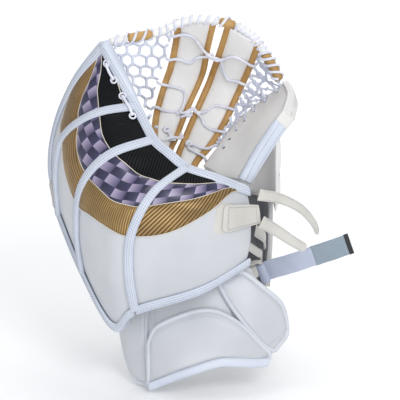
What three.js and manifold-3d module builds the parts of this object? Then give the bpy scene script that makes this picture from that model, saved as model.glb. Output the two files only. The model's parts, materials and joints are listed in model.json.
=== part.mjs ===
// Ice-hockey goalkeeper's catching glove, worn on the left hand, standing on its cuff side down.
// Millimetres, +Z up, -Y towards the shooter, +X towards the little finger.
import * as THREE from 'three';
import { mergeVertices } from 'three/addons/utils/BufferGeometryUtils.js';
import Module from 'manifold-3d';

const wasm = await Module();
wasm.setup();

// Driving dimensions.
const BOARD = 16;              // thickness of the stiff foam boards under the leather
const FINGER_BOARD = 12;       // thickness of the finger board
const SKIN_GAP = 1.5;          // from a board to the inlay sewn on it
const SKIN = 1.0;              // thickness of a sewn inlay
const RIB_LOW = 3.6;           // underside of the ribs over the inlays
const RIB_HIGH = 6.6;          // top of the ribs
const RIB_WIDTH = 7.5;
const BINDING = 5;             // how far an edge binding stands past a board's edge
const FOLD_BEVEL = 7;          // relief inside the fold line, so that the thumb can close
const STRAP_T = 4.5;           // thickness of the two pocket straps
const STRAP_EDGE = 7;          // width of their coloured edges
const LACE = 1.6;              // radius of the round laces
const ROLL = 4.8;              // radius of the laced roll along the pocket's top
const WEBBING = 24;            // width of the wrist strap
const WEBBING_T = 2.4;         // its thickness
const HAND = [8, 20, 120];     // where the hand enters, the origin of the finished part

const WHITE = 0xd3dae2;
const PALE_BLUE = 0xd6dfec;
const GOLD = 0xaa8746;
const TAN = 0xbf9457;
const CARBON = 0x191c1e;
const INDIGO = 0x433f66;
const CREAM = 0xebe9e6;
const LEATHER = 0xd7d5d0;
const GREY = 0xc2c1bf;

const group = new THREE.Group();

const P = (x, y, z) => new THREE.Vector3(x, y, z);

// A smooth curve through points at whole values of t, straight past its ends.
function through(points, t) {
  const n = points.length - 1;
  if (t <= 0) return points[0].clone().lerp(points[1], t);
  if (t >= n) return points[n - 1].clone().lerp(points[n], t - n + 1);
  const i = Math.min(Math.floor(t), n - 1);
  const f = t - i;
  const b = points[i];
  const c = points[i + 1];
  const a = i > 0 ? points[i - 1] : b.clone().multiplyScalar(2).sub(c);
  const d = i + 2 <= n ? points[i + 2] : c.clone().multiplyScalar(2).sub(b);
  const w0 = -0.5 * f + f * f - 0.5 * f * f * f;
  const w1 = 1 - 2.5 * f * f + 1.5 * f * f * f;
  const w2 = 0.5 * f + 2 * f * f - 1.5 * f * f * f;
  const w3 = -0.5 * f * f + 0.5 * f * f * f;
  return P(0, 0, 0).addScaledVector(a, w0).addScaledVector(b, w1)
    .addScaledVector(c, w2).addScaledVector(d, w3);
}

// A smooth sheet through lines of points: u counts the lines, v the points along each line.
function sheet(lines) {
  const at = (u, v) => through(lines.map((line) => through(line, v)), u);
  const alongU = (u, v) => at(u + 0.02, v).sub(at(u - 0.02, v)).normalize();
  const alongV = (u, v) => at(u, v + 0.02).sub(at(u, v - 0.02)).normalize();
  const normal = (u, v) => alongV(u, v).cross(alongU(u, v)).normalize();
  return { at, alongU, alongV, normal };
}

// The geometry's faces all point out, whichever way round it was made.
function facingOut(geometry) {
  const g = geometry.index ? geometry.toNonIndexed() : geometry;
  g.deleteAttribute('uv');
  g.deleteAttribute('normal');
  const p = g.attributes.position;
  let volume = 0;
  for (let i = 0; i < p.count; i += 3) {
    const a = P(0, 0, 0).fromBufferAttribute(p, i);
    const b = P(0, 0, 0).fromBufferAttribute(p, i + 1);
    const c = P(0, 0, 0).fromBufferAttribute(p, i + 2);
    volume += a.dot(b.cross(c));
    if (volume !== volume) throw new Error('a point is not a number');
  }
  if (volume < 0) {
    for (let i = 0; i < p.count; i += 3) {
      const b = P(0, 0, 0).fromBufferAttribute(p, i + 1);
      const c = P(0, 0, 0).fromBufferAttribute(p, i + 2);
      p.setXYZ(i + 1, c.x, c.y, c.z);
      p.setXYZ(i + 2, b.x, b.y, b.z);
    }
  }
  const merged = mergeVertices(g, 1e-4);
  merged.computeVertexNormals();
  return merged;
}

// A box bent into place: place(s, t, w) gives the point for three fractions from 0 to 1.
function bent(ns, nt, nw, place) {
  const g = new THREE.BoxGeometry(1, 1, 1, ns, nt, nw);
  const p = g.attributes.position;
  for (let i = 0; i < p.count; i++) {
    const q = place(p.getX(i) + 0.5, p.getY(i) + 0.5, p.getZ(i) + 0.5);
    p.setXYZ(i, q.x, q.y, q.z);
  }
  return facingOut(g);
}

// A round bar along a path, its ends flat.
function bar(path, radius, sides, steps) {
  const g = new THREE.CylinderGeometry(1, 1, 1, sides, steps);
  const p = g.attributes.position;
  const frames = [];
  let across = null;
  for (let i = 0; i <= steps; i++) {
    const t = i / steps;
    const centre = path(t);
    const along = path(Math.min(1, t + 0.01)).sub(path(Math.max(0, t - 0.01))).normalize();
    if (!across) across = Math.abs(along.z) < 0.9 ? P(0, 0, 1) : P(1, 0, 0);
    across = across.clone().addScaledVector(along, -across.dot(along)).normalize();
    frames.push([centre, across, along.clone().cross(across)]);
  }
  for (let i = 0; i < p.count; i++) {
    const [centre, a, b] = frames[Math.round((p.getY(i) + 0.5) * steps)];
    const q = centre.clone().addScaledVector(a, p.getX(i) * radius)
      .addScaledVector(b, p.getZ(i) * radius);
    p.setXYZ(i, q.x, q.y, q.z);
  }
  return facingOut(g);
}

function solid(geometry) {
  const merged = mergeVertices(geometry, 1e-4);
  return new wasm.Manifold(new wasm.Mesh({
    numProp: 3,
    vertProperties: merged.attributes.position.array,
    triVerts: new Uint32Array(merged.index.array),
  }));
}

function back(made) {
  const mesh = made.getMesh();
  const g = new THREE.BufferGeometry();
  g.setAttribute('position', new THREE.BufferAttribute(mesh.vertProperties.slice(), 3));
  g.setIndex(new THREE.BufferAttribute(mesh.triVerts.slice(), 1));
  g.computeVertexNormals();
  return g;
}

function joined(geometries) {
  let whole = solid(geometries[0]);
  for (const g of geometries.slice(1)) whole = whole.add(solid(g));
  return back(whole);
}

function piece(name, geometry, color, roughness = 0.6, metalness = 0) {
  const mesh = new THREE.Mesh(geometry, new THREE.MeshStandardMaterial({ color, roughness, metalness }));
  mesh.name = name;
  mesh.position.set(-HAND[0], -HAND[1], -HAND[2]);
  group.add(mesh);
}

// ---- The thumb and heel shell: one curved face from the thumb's outer edge to the palm. ----
// Each line runs from the pocket's rim to the shell's outer edge.
const shell = sheet([
  [P(-108, 14, 400), P(-139, 35, 355), P(-162, 50, 300), P(-170, 55, 245), P(-160, 52, 190)],
  [P(-71, -15, 338), P(-118, -20, 329), P(-152, 5, 296), P(-162, 22, 250), P(-160, 28, 197)],
  [P(-51, -41, 307), P(-100, -58, 294), P(-130, -46, 255), P(-137, -32, 200), P(-132, -25, 147)],
  [P(-36, -52, 296), P(-80, -74, 265), P(-106, -72, 229), P(-110, -68, 165), P(-97, -62, 96)],
  [P(-15, -60, 281), P(-52, -86, 259), P(-75, -92, 215), P(-78, -90, 168), P(-72, -80, 121)],
  [P(17, -58, 268), P(10, -80, 238), P(5, -88, 206), P(1, -86, 175), P(0, -78, 144)],
  [P(53, -40, 248), P(57, -44, 228), P(58, -46, 206), P(57, -46, 185), P(53, -42, 164)],
]);
const SEAM = 0.015;
const SEAM_RELIEF = 2;
const FOLD = 4;
const deep = (u) => BOARD * (0.5 + 0.5 * Math.min(1, Math.max(0, u)));

// A slab on the shell between two lines; relief cuts its inner side back at the far line.
function onShell(u0, u1, v0, v1, low, high, nu, nv, relief = 0) {
  return bent(nu, nv, 1, (s, t, w) => {
    const u = u0 + (u1 - u0) * s;
    const from = typeof v0 === 'function' ? v0(u) : v0;
    const to = typeof v1 === 'function' ? v1(u) : v1;
    const v = from + (to - from) * t;
    const bottom = typeof low === 'function' ? low(u) : low;
    const q = shell.at(u, v).addScaledVector(shell.normal(u, v), bottom + (high - bottom) * w);
    return s === 1 ? q.addScaledVector(shell.alongU(u, v), -relief * (1 - w)) : q;
  });
}

piece('thumb_tip_board', onShell(0, 1 - SEAM, 0, 4, (u) => -deep(u), 0, 4, 16, SEAM_RELIEF), WHITE);
piece('thumb_side_board', onShell(1 + SEAM, 2 - SEAM, 0, 4, -BOARD, 0, 4, 8, SEAM_RELIEF), WHITE);
piece('thumb_base_board', onShell(2 + SEAM, FOLD - SEAM, 0, 4, -BOARD, 0, 8, 8, FOLD_BEVEL), WHITE);
piece('heel_board', onShell(FOLD + SEAM, 6, 0, 4, -BOARD, 0, 8, 8), WHITE);

// Three inlays follow the rim; each one ends where the next begins.
const bandEnd = (values) => (u) => {
  const f = u < 1 ? 4 * u : 2 + 2 * u;
  return through(values.map((v) => P(v, 0, 0)), f).x;
};
const carbonEnd = bandEnd([0.03, 0.22, 0.54, 0.71, 0.83, 0.95, 0.88, 0.74, 0.68, 0.65, 0.62, 0.4, 0.15, 0.05, 0.03]);
const printEnd = bandEnd([0.1, 0.6, 1.06, 1.3, 1.42, 1.7, 1.7, 1.57, 1.51, 1.42, 1.34, 0.96, 0.46, 0.13, 0.09]);
const goldEnd = bandEnd([1.1, 1.58, 1.86, 2.02, 2.08, 2.42, 2.44, 2.23, 2.14, 2.08, 2.06, 1.8, 1.02, 0.3, 0.15]);
const BAND_GAP = 0.012;
const after = (end) => (u) => end(u) + BAND_GAP;
const rim = () => 0.02;

function inlay(name, from, to, color, roughness, metalness) {
  const high = SKIN_GAP + SKIN;
  piece('thumb_' + name, onShell(0.12, FOLD - SEAM, from, to, SKIN_GAP, high, 15, 3), color, roughness, metalness);
  piece('heel_' + name, onShell(FOLD + SEAM, 5.75, from, to, SKIN_GAP, high, 7, 3), color, roughness, metalness);
}
inlay('carbon_inlay', rim, carbonEnd, CARBON, 0.35, 0);
inlay('print_inlay', after(carbonEnd), printEnd, INDIGO, 0.4, 0);
inlay('gold_inlay', after(printEnd), goldEnd, GOLD, 0.35, 0.6);

// Ribs: padded piping over the three seams between the boards.
function rib(name, u, v0, v1, steps) {
  piece(name, bent(1, steps, 1, (s, t, w) => {
    const v = v0 + (v1 - v0) * t;
    const width = RIB_WIDTH * (1 - 0.35 * w);
    return shell.at(u, v).addScaledVector(shell.alongU(u, v), (s - 0.5) * width)
      .addScaledVector(shell.normal(u, v), RIB_LOW + (RIB_HIGH - RIB_LOW) * w);
  }), PALE_BLUE, 0.5);
}
rib('thumb_rib_upper', 1, 0.03, 3.97, 16);
rib('thumb_rib_lower', 2, 0.03, 3.97, 16);
rib('fold_rib', FOLD, 0.03, 3.97, 16);

// Bindings close the boards' edges along the rim, the bottom and the thumb's outer side.
function edgeV(name, u0, u1, v, side, steps, relief = 0) {
  piece(name, bent(steps, 1, 1, (s, t, w) => {
    const u = u0 + (u1 - u0) * s;
    const reach = side * (1.1 + BINDING * t);
    const q = shell.at(u, v).addScaledVector(shell.alongV(u, v), reach)
      .addScaledVector(shell.normal(u, v), -deep(u) - 1 + (deep(u) + 4) * w + (w - 0.5) * -2 * t);
    return s === 1 ? q.addScaledVector(shell.alongU(u, v), -relief * (1.2 - w)) : q;
  }), PALE_BLUE, 0.5);
}
edgeV('thumb_rim_binding', 0, FOLD - SEAM, 0, -1, 16, FOLD_BEVEL);
edgeV('heel_rim_binding', FOLD + SEAM, 6, 0, -1, 8);
edgeV('thumb_bottom_binding', 0, FOLD - SEAM, 4, 1, 16, FOLD_BEVEL);
edgeV('heel_bottom_binding', FOLD + SEAM, 6, 4, 1, 8);
piece('thumb_side_binding', bent(1, 8, 1, (s, t, w) => {
  const v = 0.1 + 3.8 * t;
  return shell.at(0, v).addScaledVector(shell.alongU(0, v), -1 - BINDING * s)
    .addScaledVector(shell.normal(0, v), -deep(0) - 1 + (deep(0) + 3) * w + (w - 0.5) * -2 * s);
}), PALE_BLUE, 0.5);

// Two short laces cross the rim, each between a pair of ring eyelets.
function rimLace(name, from, to) {
  const ring = ([u, v]) => {
    const n = shell.normal(u, v);
    const g = new THREE.TorusGeometry(3.2, 1.1, 6, 12);
    g.applyQuaternion(new THREE.Quaternion().setFromUnitVectors(P(0, 0, 1), n));
    const at = shell.at(u, v).addScaledVector(n, 4.6);
    g.translate(at.x, at.y, at.z);
    return facingOut(g);
  };
  const lace = bar((t) => {
    const u = from[0] + (to[0] - from[0]) * t;
    const v = from[1] + (to[1] - from[1]) * t;
    return shell.at(u, v).addScaledVector(shell.normal(u, v), 5.7 + 3 * Math.sin(Math.PI * t));
  }, LACE, 6, 6);
  piece(name, joined([lace, ring(from), ring(to)]), CREAM, 0.7);
}
rimLace('rim_lace_upper', [0.24, 0.11], [0.54, 0.17]);
rimLace('rim_lace_lower', [0.8, 0.18], [1.26, 0.2]);

// The cover over the back of the thumb.
const thumbBack = sheet([
  [P(-122, 38, 380), P(-150, 58, 335), P(-166, 68, 285), P(-168, 70, 235), P(-152, 66, 194)],
  [P(-108, 48, 378), P(-122, 68, 330), P(-130, 82, 280), P(-132, 86, 232), P(-128, 78, 192)],
  [P(-94, 54, 374), P(-96, 70, 326), P(-98, 82, 276), P(-100, 86, 230), P(-104, 78, 192)],
]);
piece('thumb_cover', bent(4, 6, 1, (s, t, w) => thumbBack.at(2 * s, 4 * t)
  .addScaledVector(thumbBack.normal(2 * s, 4 * t), -7 * w)), GREY);

// ---- The finger board, its edge band and the cover behind the fingers. ----
const fingerFace = sheet([
  [P(46, -22, 255), P(25, 0, 252), P(10, 18, 255)],
  [P(60, -16, 280), P(42, 22, 274), P(24, 48, 276)],
  [P(78, -8, 307), P(66, 30, 304), P(51, 68, 303)],
  [P(94, 2, 326), P(99, 38, 334), P(94, 70, 339)],
]);
const LACE_HOLES = 7;
const holeAt = (i) => [0.9 + 1.95 * i / (LACE_HOLES - 1), 1.84];
function fingerBoard() {
  let made = solid(bent(7, 4, 1, (s, t, w) => fingerFace.at(3 * s, 2 * t)
    .addScaledVector(fingerFace.normal(3 * s, 2 * t), FINGER_BOARD * w)));
  for (let i = 0; i < LACE_HOLES; i++) {
    const [u, v] = holeAt(i);
    const n = fingerFace.normal(u, v);
    const a = fingerFace.at(u, v).addScaledVector(n, -30);
    const b = fingerFace.at(u, v).addScaledVector(n, 30);
    made = made.subtract(solid(bar((t) => a.clone().lerp(b, t), 2.6, 6, 1)));
  }
  return back(made);
}
piece('finger_board', fingerBoard(), CREAM);
const band = (w) => -1 + (FINGER_BOARD + 2) * w;
piece('finger_edge_band', joined([
  bent(7, 1, 1, (s, t, w) => fingerFace.at(3.16 * s, 0)
    .addScaledVector(fingerFace.alongV(Math.min(3, 3.16 * s), 0), -1 - BINDING * t)
    .addScaledVector(fingerFace.normal(Math.min(3, 3.16 * s), 0), band(w))),
  bent(1, 4, 1, (s, t, w) => fingerFace.at(3, 2 * t)
    .addScaledVector(fingerFace.alongV(3, 0), -2 * (1 - t))
    .addScaledVector(fingerFace.alongU(3, 2 * t), 1.8 + 4 * s)
    .addScaledVector(fingerFace.normal(3, 2 * t), band(w))),
]), PALE_BLUE);

const fingerBack = sheet([
  [P(34, 92, 282), P(34, 94, 245), P(34, 92, 208)],
  [P(54, 97, 286), P(56, 99, 246), P(56, 96, 208)],
  [P(74, 86, 290), P(77, 86, 247), P(76, 86, 208)],
  [P(82, 60, 290), P(83, 58, 247), P(82, 60, 208)],
  [P(82, 34, 286), P(82, 32, 247), P(82, 36, 208)],
]);
piece('finger_cover', bent(8, 3, 1, (s, t, w) => fingerBack.at(4 * s, 2 * t)
  .addScaledVector(fingerBack.normal(4 * s, 2 * t), -9 * (1 - w))), GREY);

const handBack = sheet([
  [P(-46, 74, 203), P(-47, 76, 150), P(-44, 72, 96)],
  [P(-12, 90, 203), P(-12, 92, 150), P(-10, 88, 90)],
  [P(24, 98, 203), P(24, 100, 150), P(24, 95, 86)],
  [P(58, 94, 203), P(58, 94, 150), P(57, 88, 90)],
  [P(80, 72, 203), P(80, 72, 150), P(77, 66, 96)],
]);
piece('back_pad', bent(8, 4, 1, (s, t, w) => handBack.at(4 * s, 2 * t)
  .addScaledVector(handBack.normal(4 * s, 2 * t), -13 * (1 - w))), GREY);

// The stretch panel between the back pad and the thumb's cover.
const gusset = sheet([
  [P(-100, 66, 186), P(-96, 62, 165), P(-88, 56, 140)],
  [P(-75, 70, 192), P(-72, 67, 160), P(-68, 62, 125)],
  [P(-50, 70, 198), P(-50, 70, 155), P(-48, 66, 112)],
]);
piece('thumb_gusset', bent(4, 3, 1, (s, t, w) => gusset.at(2 * s, 2 * t)
  .addScaledVector(gusset.normal(2 * s, 2 * t), -2 * w)), 0x3a3c40, 0.9);

// The pad in front of the palm, inside the shell.
const palm = sheet([
  [P(-46, -6, 212), P(-46, -8, 168), P(-42, -8, 126)],
  [P(0, -16, 214), P(0, -18, 168), P(0, -18, 122)],
  [P(48, -8, 214), P(48, -10, 168), P(44, -10, 126)],
]);
piece('palm_pad', bent(4, 3, 1, (s, t, w) => palm.at(2 * s, 2 * t)
  .addScaledVector(palm.normal(2 * s, 2 * t), -12 * w)), 0x8d9299, 0.9);

// ---- The pocket: two straps with coloured edges, laced together down the middle. ----
// Each strap is ruled between its outer edge and the seam down the middle of the pocket.
const strapLeft = sheet([
  [P(-28, 62, 411), P(-32, 80, 382), P(-37, 90, 356), P(-44, 92, 334), P(-52, 82, 308), P(-55, 58, 294),
    P(-54, 26, 280), P(-44, 14, 248)],
  [P(18, 66, 408), P(12, 86, 376), P(8, 96, 350), P(2, 99, 332), P(-11, 93, 304), P(-23, 70, 278),
    P(-32, 34, 263), P(-26, 16, 234)],
]);
const strapRight = sheet([
  [P(26, 66, 403), P(19, 86, 374), P(12, 97, 350), P(6, 100, 332), P(-7, 94, 303), P(-20, 71, 277),
    P(-29, 35, 261), P(-23, 17, 232)],
  [P(67, 62, 381), P(60, 80, 355), P(52, 90, 333), P(45, 92, 316), P(31, 80, 288), P(15, 58, 268),
    P(-3, 26, 254), P(0, 14, 232)],
]);
const STRAP_END = 7;
// A point on a strap: across in fractions of its width, lifted off the face towards the pocket.
function onStrap(strap, v, across, lift) {
  return strap.at(across, v).addScaledVector(strap.normal(across, v), lift);
}
// A strip of a strap: from and to are distances in from its left edge, given its width.
function strapPiece(name, strap, from, to, thick, color) {
  piece(name, bent(1, 14, 1, (s, t, w) => {
    const v = 0.05 + (STRAP_END - 0.05) * t;
    const width = strap.at(1, v).distanceTo(strap.at(0, v));
    return onStrap(strap, v, (from(width) + (to(width) - from(width)) * s) / width, (w - 0.5) * thick);
  }), color);
}
for (const [side, strap] of [['left', strapLeft], ['right', strapRight]]) {
  const clear = STRAP_EDGE + 0.5;
  strapPiece('pocket_strap_' + side, strap, () => clear + 0.6, (w) => w - clear - 0.6, STRAP_T, CREAM);
  strapPiece('pocket_strap_' + side + '_edge_a', strap, () => 0.4, () => clear - 0.1, STRAP_T - 1, TAN);
  strapPiece('pocket_strap_' + side + '_edge_b', strap, (w) => w - clear + 0.1, (w) => w - 0.4, STRAP_T - 1, TAN);
}

// A lace runs down the seam, and four cross laces lie over both straps.
const CROSSINGS = [0.35, 1.75, 3.2, 4.2];
function crossLacing() {
  const middle = (v) => onStrap(strapLeft, v, 1, STRAP_T).lerp(onStrap(strapRight, v, 0, STRAP_T), 0.5);
  const parts = [bar((t) => middle(0.25 + 5.2 * t), LACE, 6, 14)];
  for (const c of CROSSINGS) {
    const path = [onStrap(strapLeft, c, 0, 5), onStrap(strapLeft, c, 0.5, 5), middle(c),
      onStrap(strapRight, c, 0.5, 5), onStrap(strapRight, c, 1, 5)];
    parts.push(bar((t) => through(path, 4 * t), LACE, 6, 8));
  }
  return joined(parts);
}
piece('pocket_lacing', crossLacing(), CREAM, 0.7);

// ---- The laced roll along the pocket's top, wrapped in colour at three places. ----
const rollLine = [P(-113, 20, 399), P(-80, 37, 402), P(-45, 50, 406), P(-25, 56, 414), P(-3, 60, 418), P(20, 63, 415),
  P(43, 64, 408), P(64, 62, 392), P(75, 60, 375), P(84, 58, 361), P(90, 54, 347)];
function rollPart(name, t0, t1, radius, color) {
  const steps = Math.max(1, Math.round((t1 - t0) * 2));
  piece(name, bar((t) => through(rollLine, t0 + (t1 - t0) * t), radius, 8, steps), color);
}
rollPart('top_roll_thumb', 0.5, 0.98, ROLL, CREAM);
rollPart('top_wrap_thumb', 1.0, 1.7, ROLL + 0.7, GOLD);
rollPart('top_roll_middle', 1.72, 5.1, ROLL, CREAM);
rollPart('top_wrap_middle', 5.12, 5.8, ROLL + 0.7, GOLD);
rollPart('top_roll_finger', 5.82, 7.8, ROLL, CREAM);
rollPart('top_wrap_finger', 7.82, 9.9, ROLL + 0.7, GOLD);

// ---- Laces: the net beside the thumb, and the lacing to the finger board. ----
const net = sheet([
  [P(-92, 20, 390), P(-80, 9, 364), P(-61, -4, 334), P(-46, -18, 312)],
  [P(-66, 44, 388), P(-65, 50, 362), P(-61, 46, 330), P(-58, 28, 308)],
  [P(-34, 60, 396), P(-42, 80, 362), P(-52, 82, 330), P(-60, 62, 306)],
]);
function strut(a, b, radius) {
  const grow = b.clone().sub(a).normalize().multiplyScalar(radius * 0.6);
  const from = a.clone().sub(grow);
  const to = b.clone().add(grow);
  return bar((t) => from.clone().lerp(to, t), radius, 4, 1);
}
const NET_WIDE = 84;
const NET_TALL = 126;
const CELL = 9.2;              // from a cell's middle to its corners
const STRAND = 2.8;
function netting() {
  const outline = new THREE.Shape([[0, 0], [NET_WIDE, 0], [NET_WIDE, NET_TALL], [0, NET_TALL]]
    .map(([x, y]) => new THREE.Vector2(x, y)));
  const pitchX = CELL * Math.sqrt(3);
  const pitchY = CELL * 1.5;
  for (let row = 0; row < 8; row++) {
    for (let column = 0; column < 5; column++) {
      const x = 11 + pitchX * (column + (row % 2) / 2);
      const y = 14 + pitchY * row;
      if (x > NET_WIDE - 10) continue;
      const corners = [0, 1, 2, 3, 4, 5].map((k) => {
        const a = (k + 0.5) * Math.PI / 3;
        return new THREE.Vector2(x + (CELL - STRAND / 2) * Math.cos(a), y + (CELL - STRAND / 2) * Math.sin(a));
      });
      outline.holes.push(new THREE.Path(corners));
    }
  }
  const g = facingOut(new THREE.ExtrudeGeometry(outline, { depth: STRAND, bevelEnabled: false }));
  const p = g.attributes.position;
  for (let i = 0; i < p.count; i++) {
    const u = 0.06 + 1.9 * p.getX(i) / NET_WIDE;
    const v = 0.08 + 2.84 * p.getY(i) / NET_TALL;
    const q = net.at(u, v).addScaledVector(net.normal(u, v), p.getZ(i) - STRAND / 2);
    p.setXYZ(i, q.x, q.y, q.z);
  }
  return facingOut(g);
}
piece('thumb_net', netting(), CREAM, 0.7);

function fingerLacing() {
  const stops = [];
  for (let i = 0; i < LACE_HOLES; i++) {
    const [u] = holeAt(i);
    const hole = fingerFace.at(u, 2).addScaledVector(fingerFace.alongV(u, 2), 3)
      .addScaledVector(fingerFace.normal(u, 2), 3);
    stops.push(onStrap(strapRight, 4.8 - 4.4 * i / (LACE_HOLES - 1), 1.06, 2), hole);
  }
  const parts = [];
  for (let i = 0; i + 1 < stops.length; i++) parts.push(strut(stops[i], stops[i + 1], LACE));
  return joined(parts);
}
piece('finger_lacing', fingerLacing(), CREAM, 0.7);

// ---- Leather tabs and straps on the little-finger side. ----
piece('side_tab', onShell(5.25, 6.12, 0.78, 1.78, RIB_LOW, RIB_LOW + 3, 4, 3), LEATHER, 0.5);
piece('thumb_tab', onShell(0.15, 0.8, 3.3, 3.93, 2.4, 5, 3, 3), LEATHER, 0.5);

function flatStrap(name, line, wide, thick, steps, color, taper = 0) {
  piece(name, bent(steps, 1, 1, (s, t, w) => {
    const k = s * (line.length - 1);
    const along = through(line, k + 0.02).sub(through(line, k - 0.02)).normalize();
    const up = P(0, 0, 1).addScaledVector(along, -along.z).normalize();
    const out = up.clone().cross(along);
    return through(line, k).addScaledVector(up, (t - 0.5) * wide * (1 - taper * s))
      .addScaledVector(out, (w - 0.5) * thick);
  }), color, 0.5);
}
flatStrap('upper_tongue', [P(70, -47, 240), P(90, -32, 236), P(112, -20, 220), P(127, -10, 199), P(133, -5, 184)],
  12, 3, 8, LEATHER, 0.45);
flatStrap('lower_tongue', [P(70, -49, 206), P(88, -36, 195), P(111, -24, 178), P(120, -18, 171)],
  10, 3, 6, LEATHER, 0.1);
flatStrap('hand_strap_upper', [P(62, -24, 196), P(72, 2, 180), P(74, 30, 163), P(74, 56, 152)], 13, 2.5, 5, LEATHER);
flatStrap('hand_strap_lower', [P(56, -22, 176), P(66, 4, 160), P(70, 28, 150), P(70, 56, 132)], 10, 2.5, 5, LEATHER);

// The wrist strap: a leather loop holds a bar, and the webbing's eye turns on that bar.
const BAR_R = 2.4;
const EYE = 3.0;
const strapUp = P(-0.327, 0, 0.945);
const strapOut = P(0.945, -0.05, 0.327).normalize();
const strapSide = strapUp.clone().cross(strapOut).normalize();
const barAt = P(72, 14, 132);
function fromStrapFrame(geometry) {
  const g = facingOut(geometry);
  g.applyMatrix4(new THREE.Matrix4().makeBasis(strapOut, strapSide, strapUp).setPosition(barAt));
  return facingOut(g);
}
function loopSolid() {
  const box = (w, h, x, z) => {
    const g = new THREE.BoxGeometry(w, 5, h);
    g.translate(x, 0, z);
    return facingOut(g);
  };
  const rod = new THREE.CylinderGeometry(BAR_R, BAR_R, 27.2, 12);
  rod.rotateX(Math.PI / 2);
  return joined([box(20, 3.5, -8, 14.6), box(20, 3.5, -8, -14.6), box(4, 32.6, -16, 0), facingOut(rod)]);
}
piece('strap_loop', fromStrapFrame(loopSolid()), LEATHER, 0.5);

const strapCurve = [P(0, 4.2, 0), P(30, 3, 0), P(62, 4.5, 0), P(108, 9, 0)];
function webbing(x0, x1, thick, wide, steps) {
  return bent(steps, 1, 1, (s, t, w) => {
    const x = x0 + (x1 - x0) * s;
    const at = (k) => through(strapCurve, k / 36);
    const y = at(x).y;
    return P(x, y + (w - 0.5) * thick, (t - 0.5) * wide);
  });
}
const eyeProfile = [[EYE, -11.5], [EYE + WEBBING_T, -11.5], [EYE + WEBBING_T, 11.5], [EYE, 11.5], [EYE, -11.5]];
const eye = new THREE.LatheGeometry(eyeProfile.map(([x, y]) => new THREE.Vector2(x, y)), 16);
eye.rotateX(Math.PI / 2);
piece('wrist_strap', fromStrapFrame(joined([facingOut(eye), webbing(0, 60, WEBBING_T, WEBBING - 1, 8)])), 0xb4bed2, 0.9);
piece('wrist_strap_hook', fromStrapFrame(webbing(60.5, 100, WEBBING_T + 1, WEBBING, 5)), 0xa5b4b9, 0.95);
piece('wrist_strap_tip', fromStrapFrame(webbing(100.5, 105, WEBBING_T + 1.4, WEBBING + 0.6, 1)), 0x15161a, 0.5);
flatStrap('loop_tab', [P(50, 20, 124), P(56, 40, 121), P(68, 62, 118)], 16, 2.5, 4, LEATHER);

// ---- The cuff: curved panels round the front of the wrist. ----
const CUFF_X = 9;
const CUFF_RX = 106;
const cuffDepth = (z) => 86 - 52 * Math.pow(Math.min(1.3, Math.max(0, (z - 20) / 130)), 1.5);
function onCuff(x, z, lift) {
  const a = Math.asin(Math.min(0.985, Math.max(-0.985, (x - CUFF_X) / CUFF_RX)));
  const ry = cuffDepth(z);
  const n = P(Math.sin(a) * ry, -Math.cos(a) * CUFF_RX, -12).normalize();
  return P(CUFF_X + CUFF_RX * Math.sin(a), 5 - ry * Math.cos(a), z).addScaledVector(n, lift);
}
// A cuff panel: left and right edges run from top to bottom, as [x, z] points.
function cuffPiece(name, left, right, low, high, nu, nv, color, roughness = 0.6) {
  const curve = (points, t) => through(points.map(([x, z]) => P(x, 0, z)), t * (points.length - 1));
  piece(name, bent(nu, nv, 1, (s, t, w) => {
    const q = curve(left, t).lerp(curve(right, t), s);
    return onCuff(q.x, q.z, low + (high - low) * w);
  }), color, roughness);
}
cuffPiece('cuff_panel', [[-57.5, 152], [-59.5, 110], [-58.5, 72], [-56, 36]],
  [[58, 150], [72, 124], [78, 92], [76, 62]], -8, 0, 10, 5, WHITE);
cuffPiece('cuff_left_wing', [[-84, 118], [-88, 84], [-84, 48], [-73, 21]],
  [[-60, 118], [-62, 84], [-61, 50], [-59, 24]], -8, 0, 3, 5, WHITE);
cuffPiece('cuff_right_wing', [[17, 148], [28, 127], [44, 104], [78, 62]],
  [[46, 152], [68, 134], [88, 114], [101, 84]], 1.2, 9, 6, 6, WHITE);
const FLAP_TOP = [[-55, 75], [-45, 94], [-11, 110], [17, 112], [42, 99], [62, 79], [75, 63]];
const FLAP_LOW = [[-54, 28], [-44, 34], [-20, 47], [17, 60], [40, 60], [60, 57], [74, 56]];
const flapEdge = (points, s) => through(points.map(([x, z]) => P(x, 0, z)), s * 6);
piece('cuff_flap', bent(12, 4, 1, (s, t, w) => {
  const q = flapEdge(FLAP_TOP, s).lerp(flapEdge(FLAP_LOW, s), t);
  return onCuff(q.x, q.z, 2.2 + 6.5 * w);
}), WHITE);
piece('cuff_flap_binding', bent(12, 1, 1, (s, t, w) => {
  const q = flapEdge(FLAP_LOW, s);
  return onCuff(q.x, q.z - 0.6 - 6 * t, 0.8 + 8 * w);
}), PALE_BLUE, 0.5);
export default group;
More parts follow.
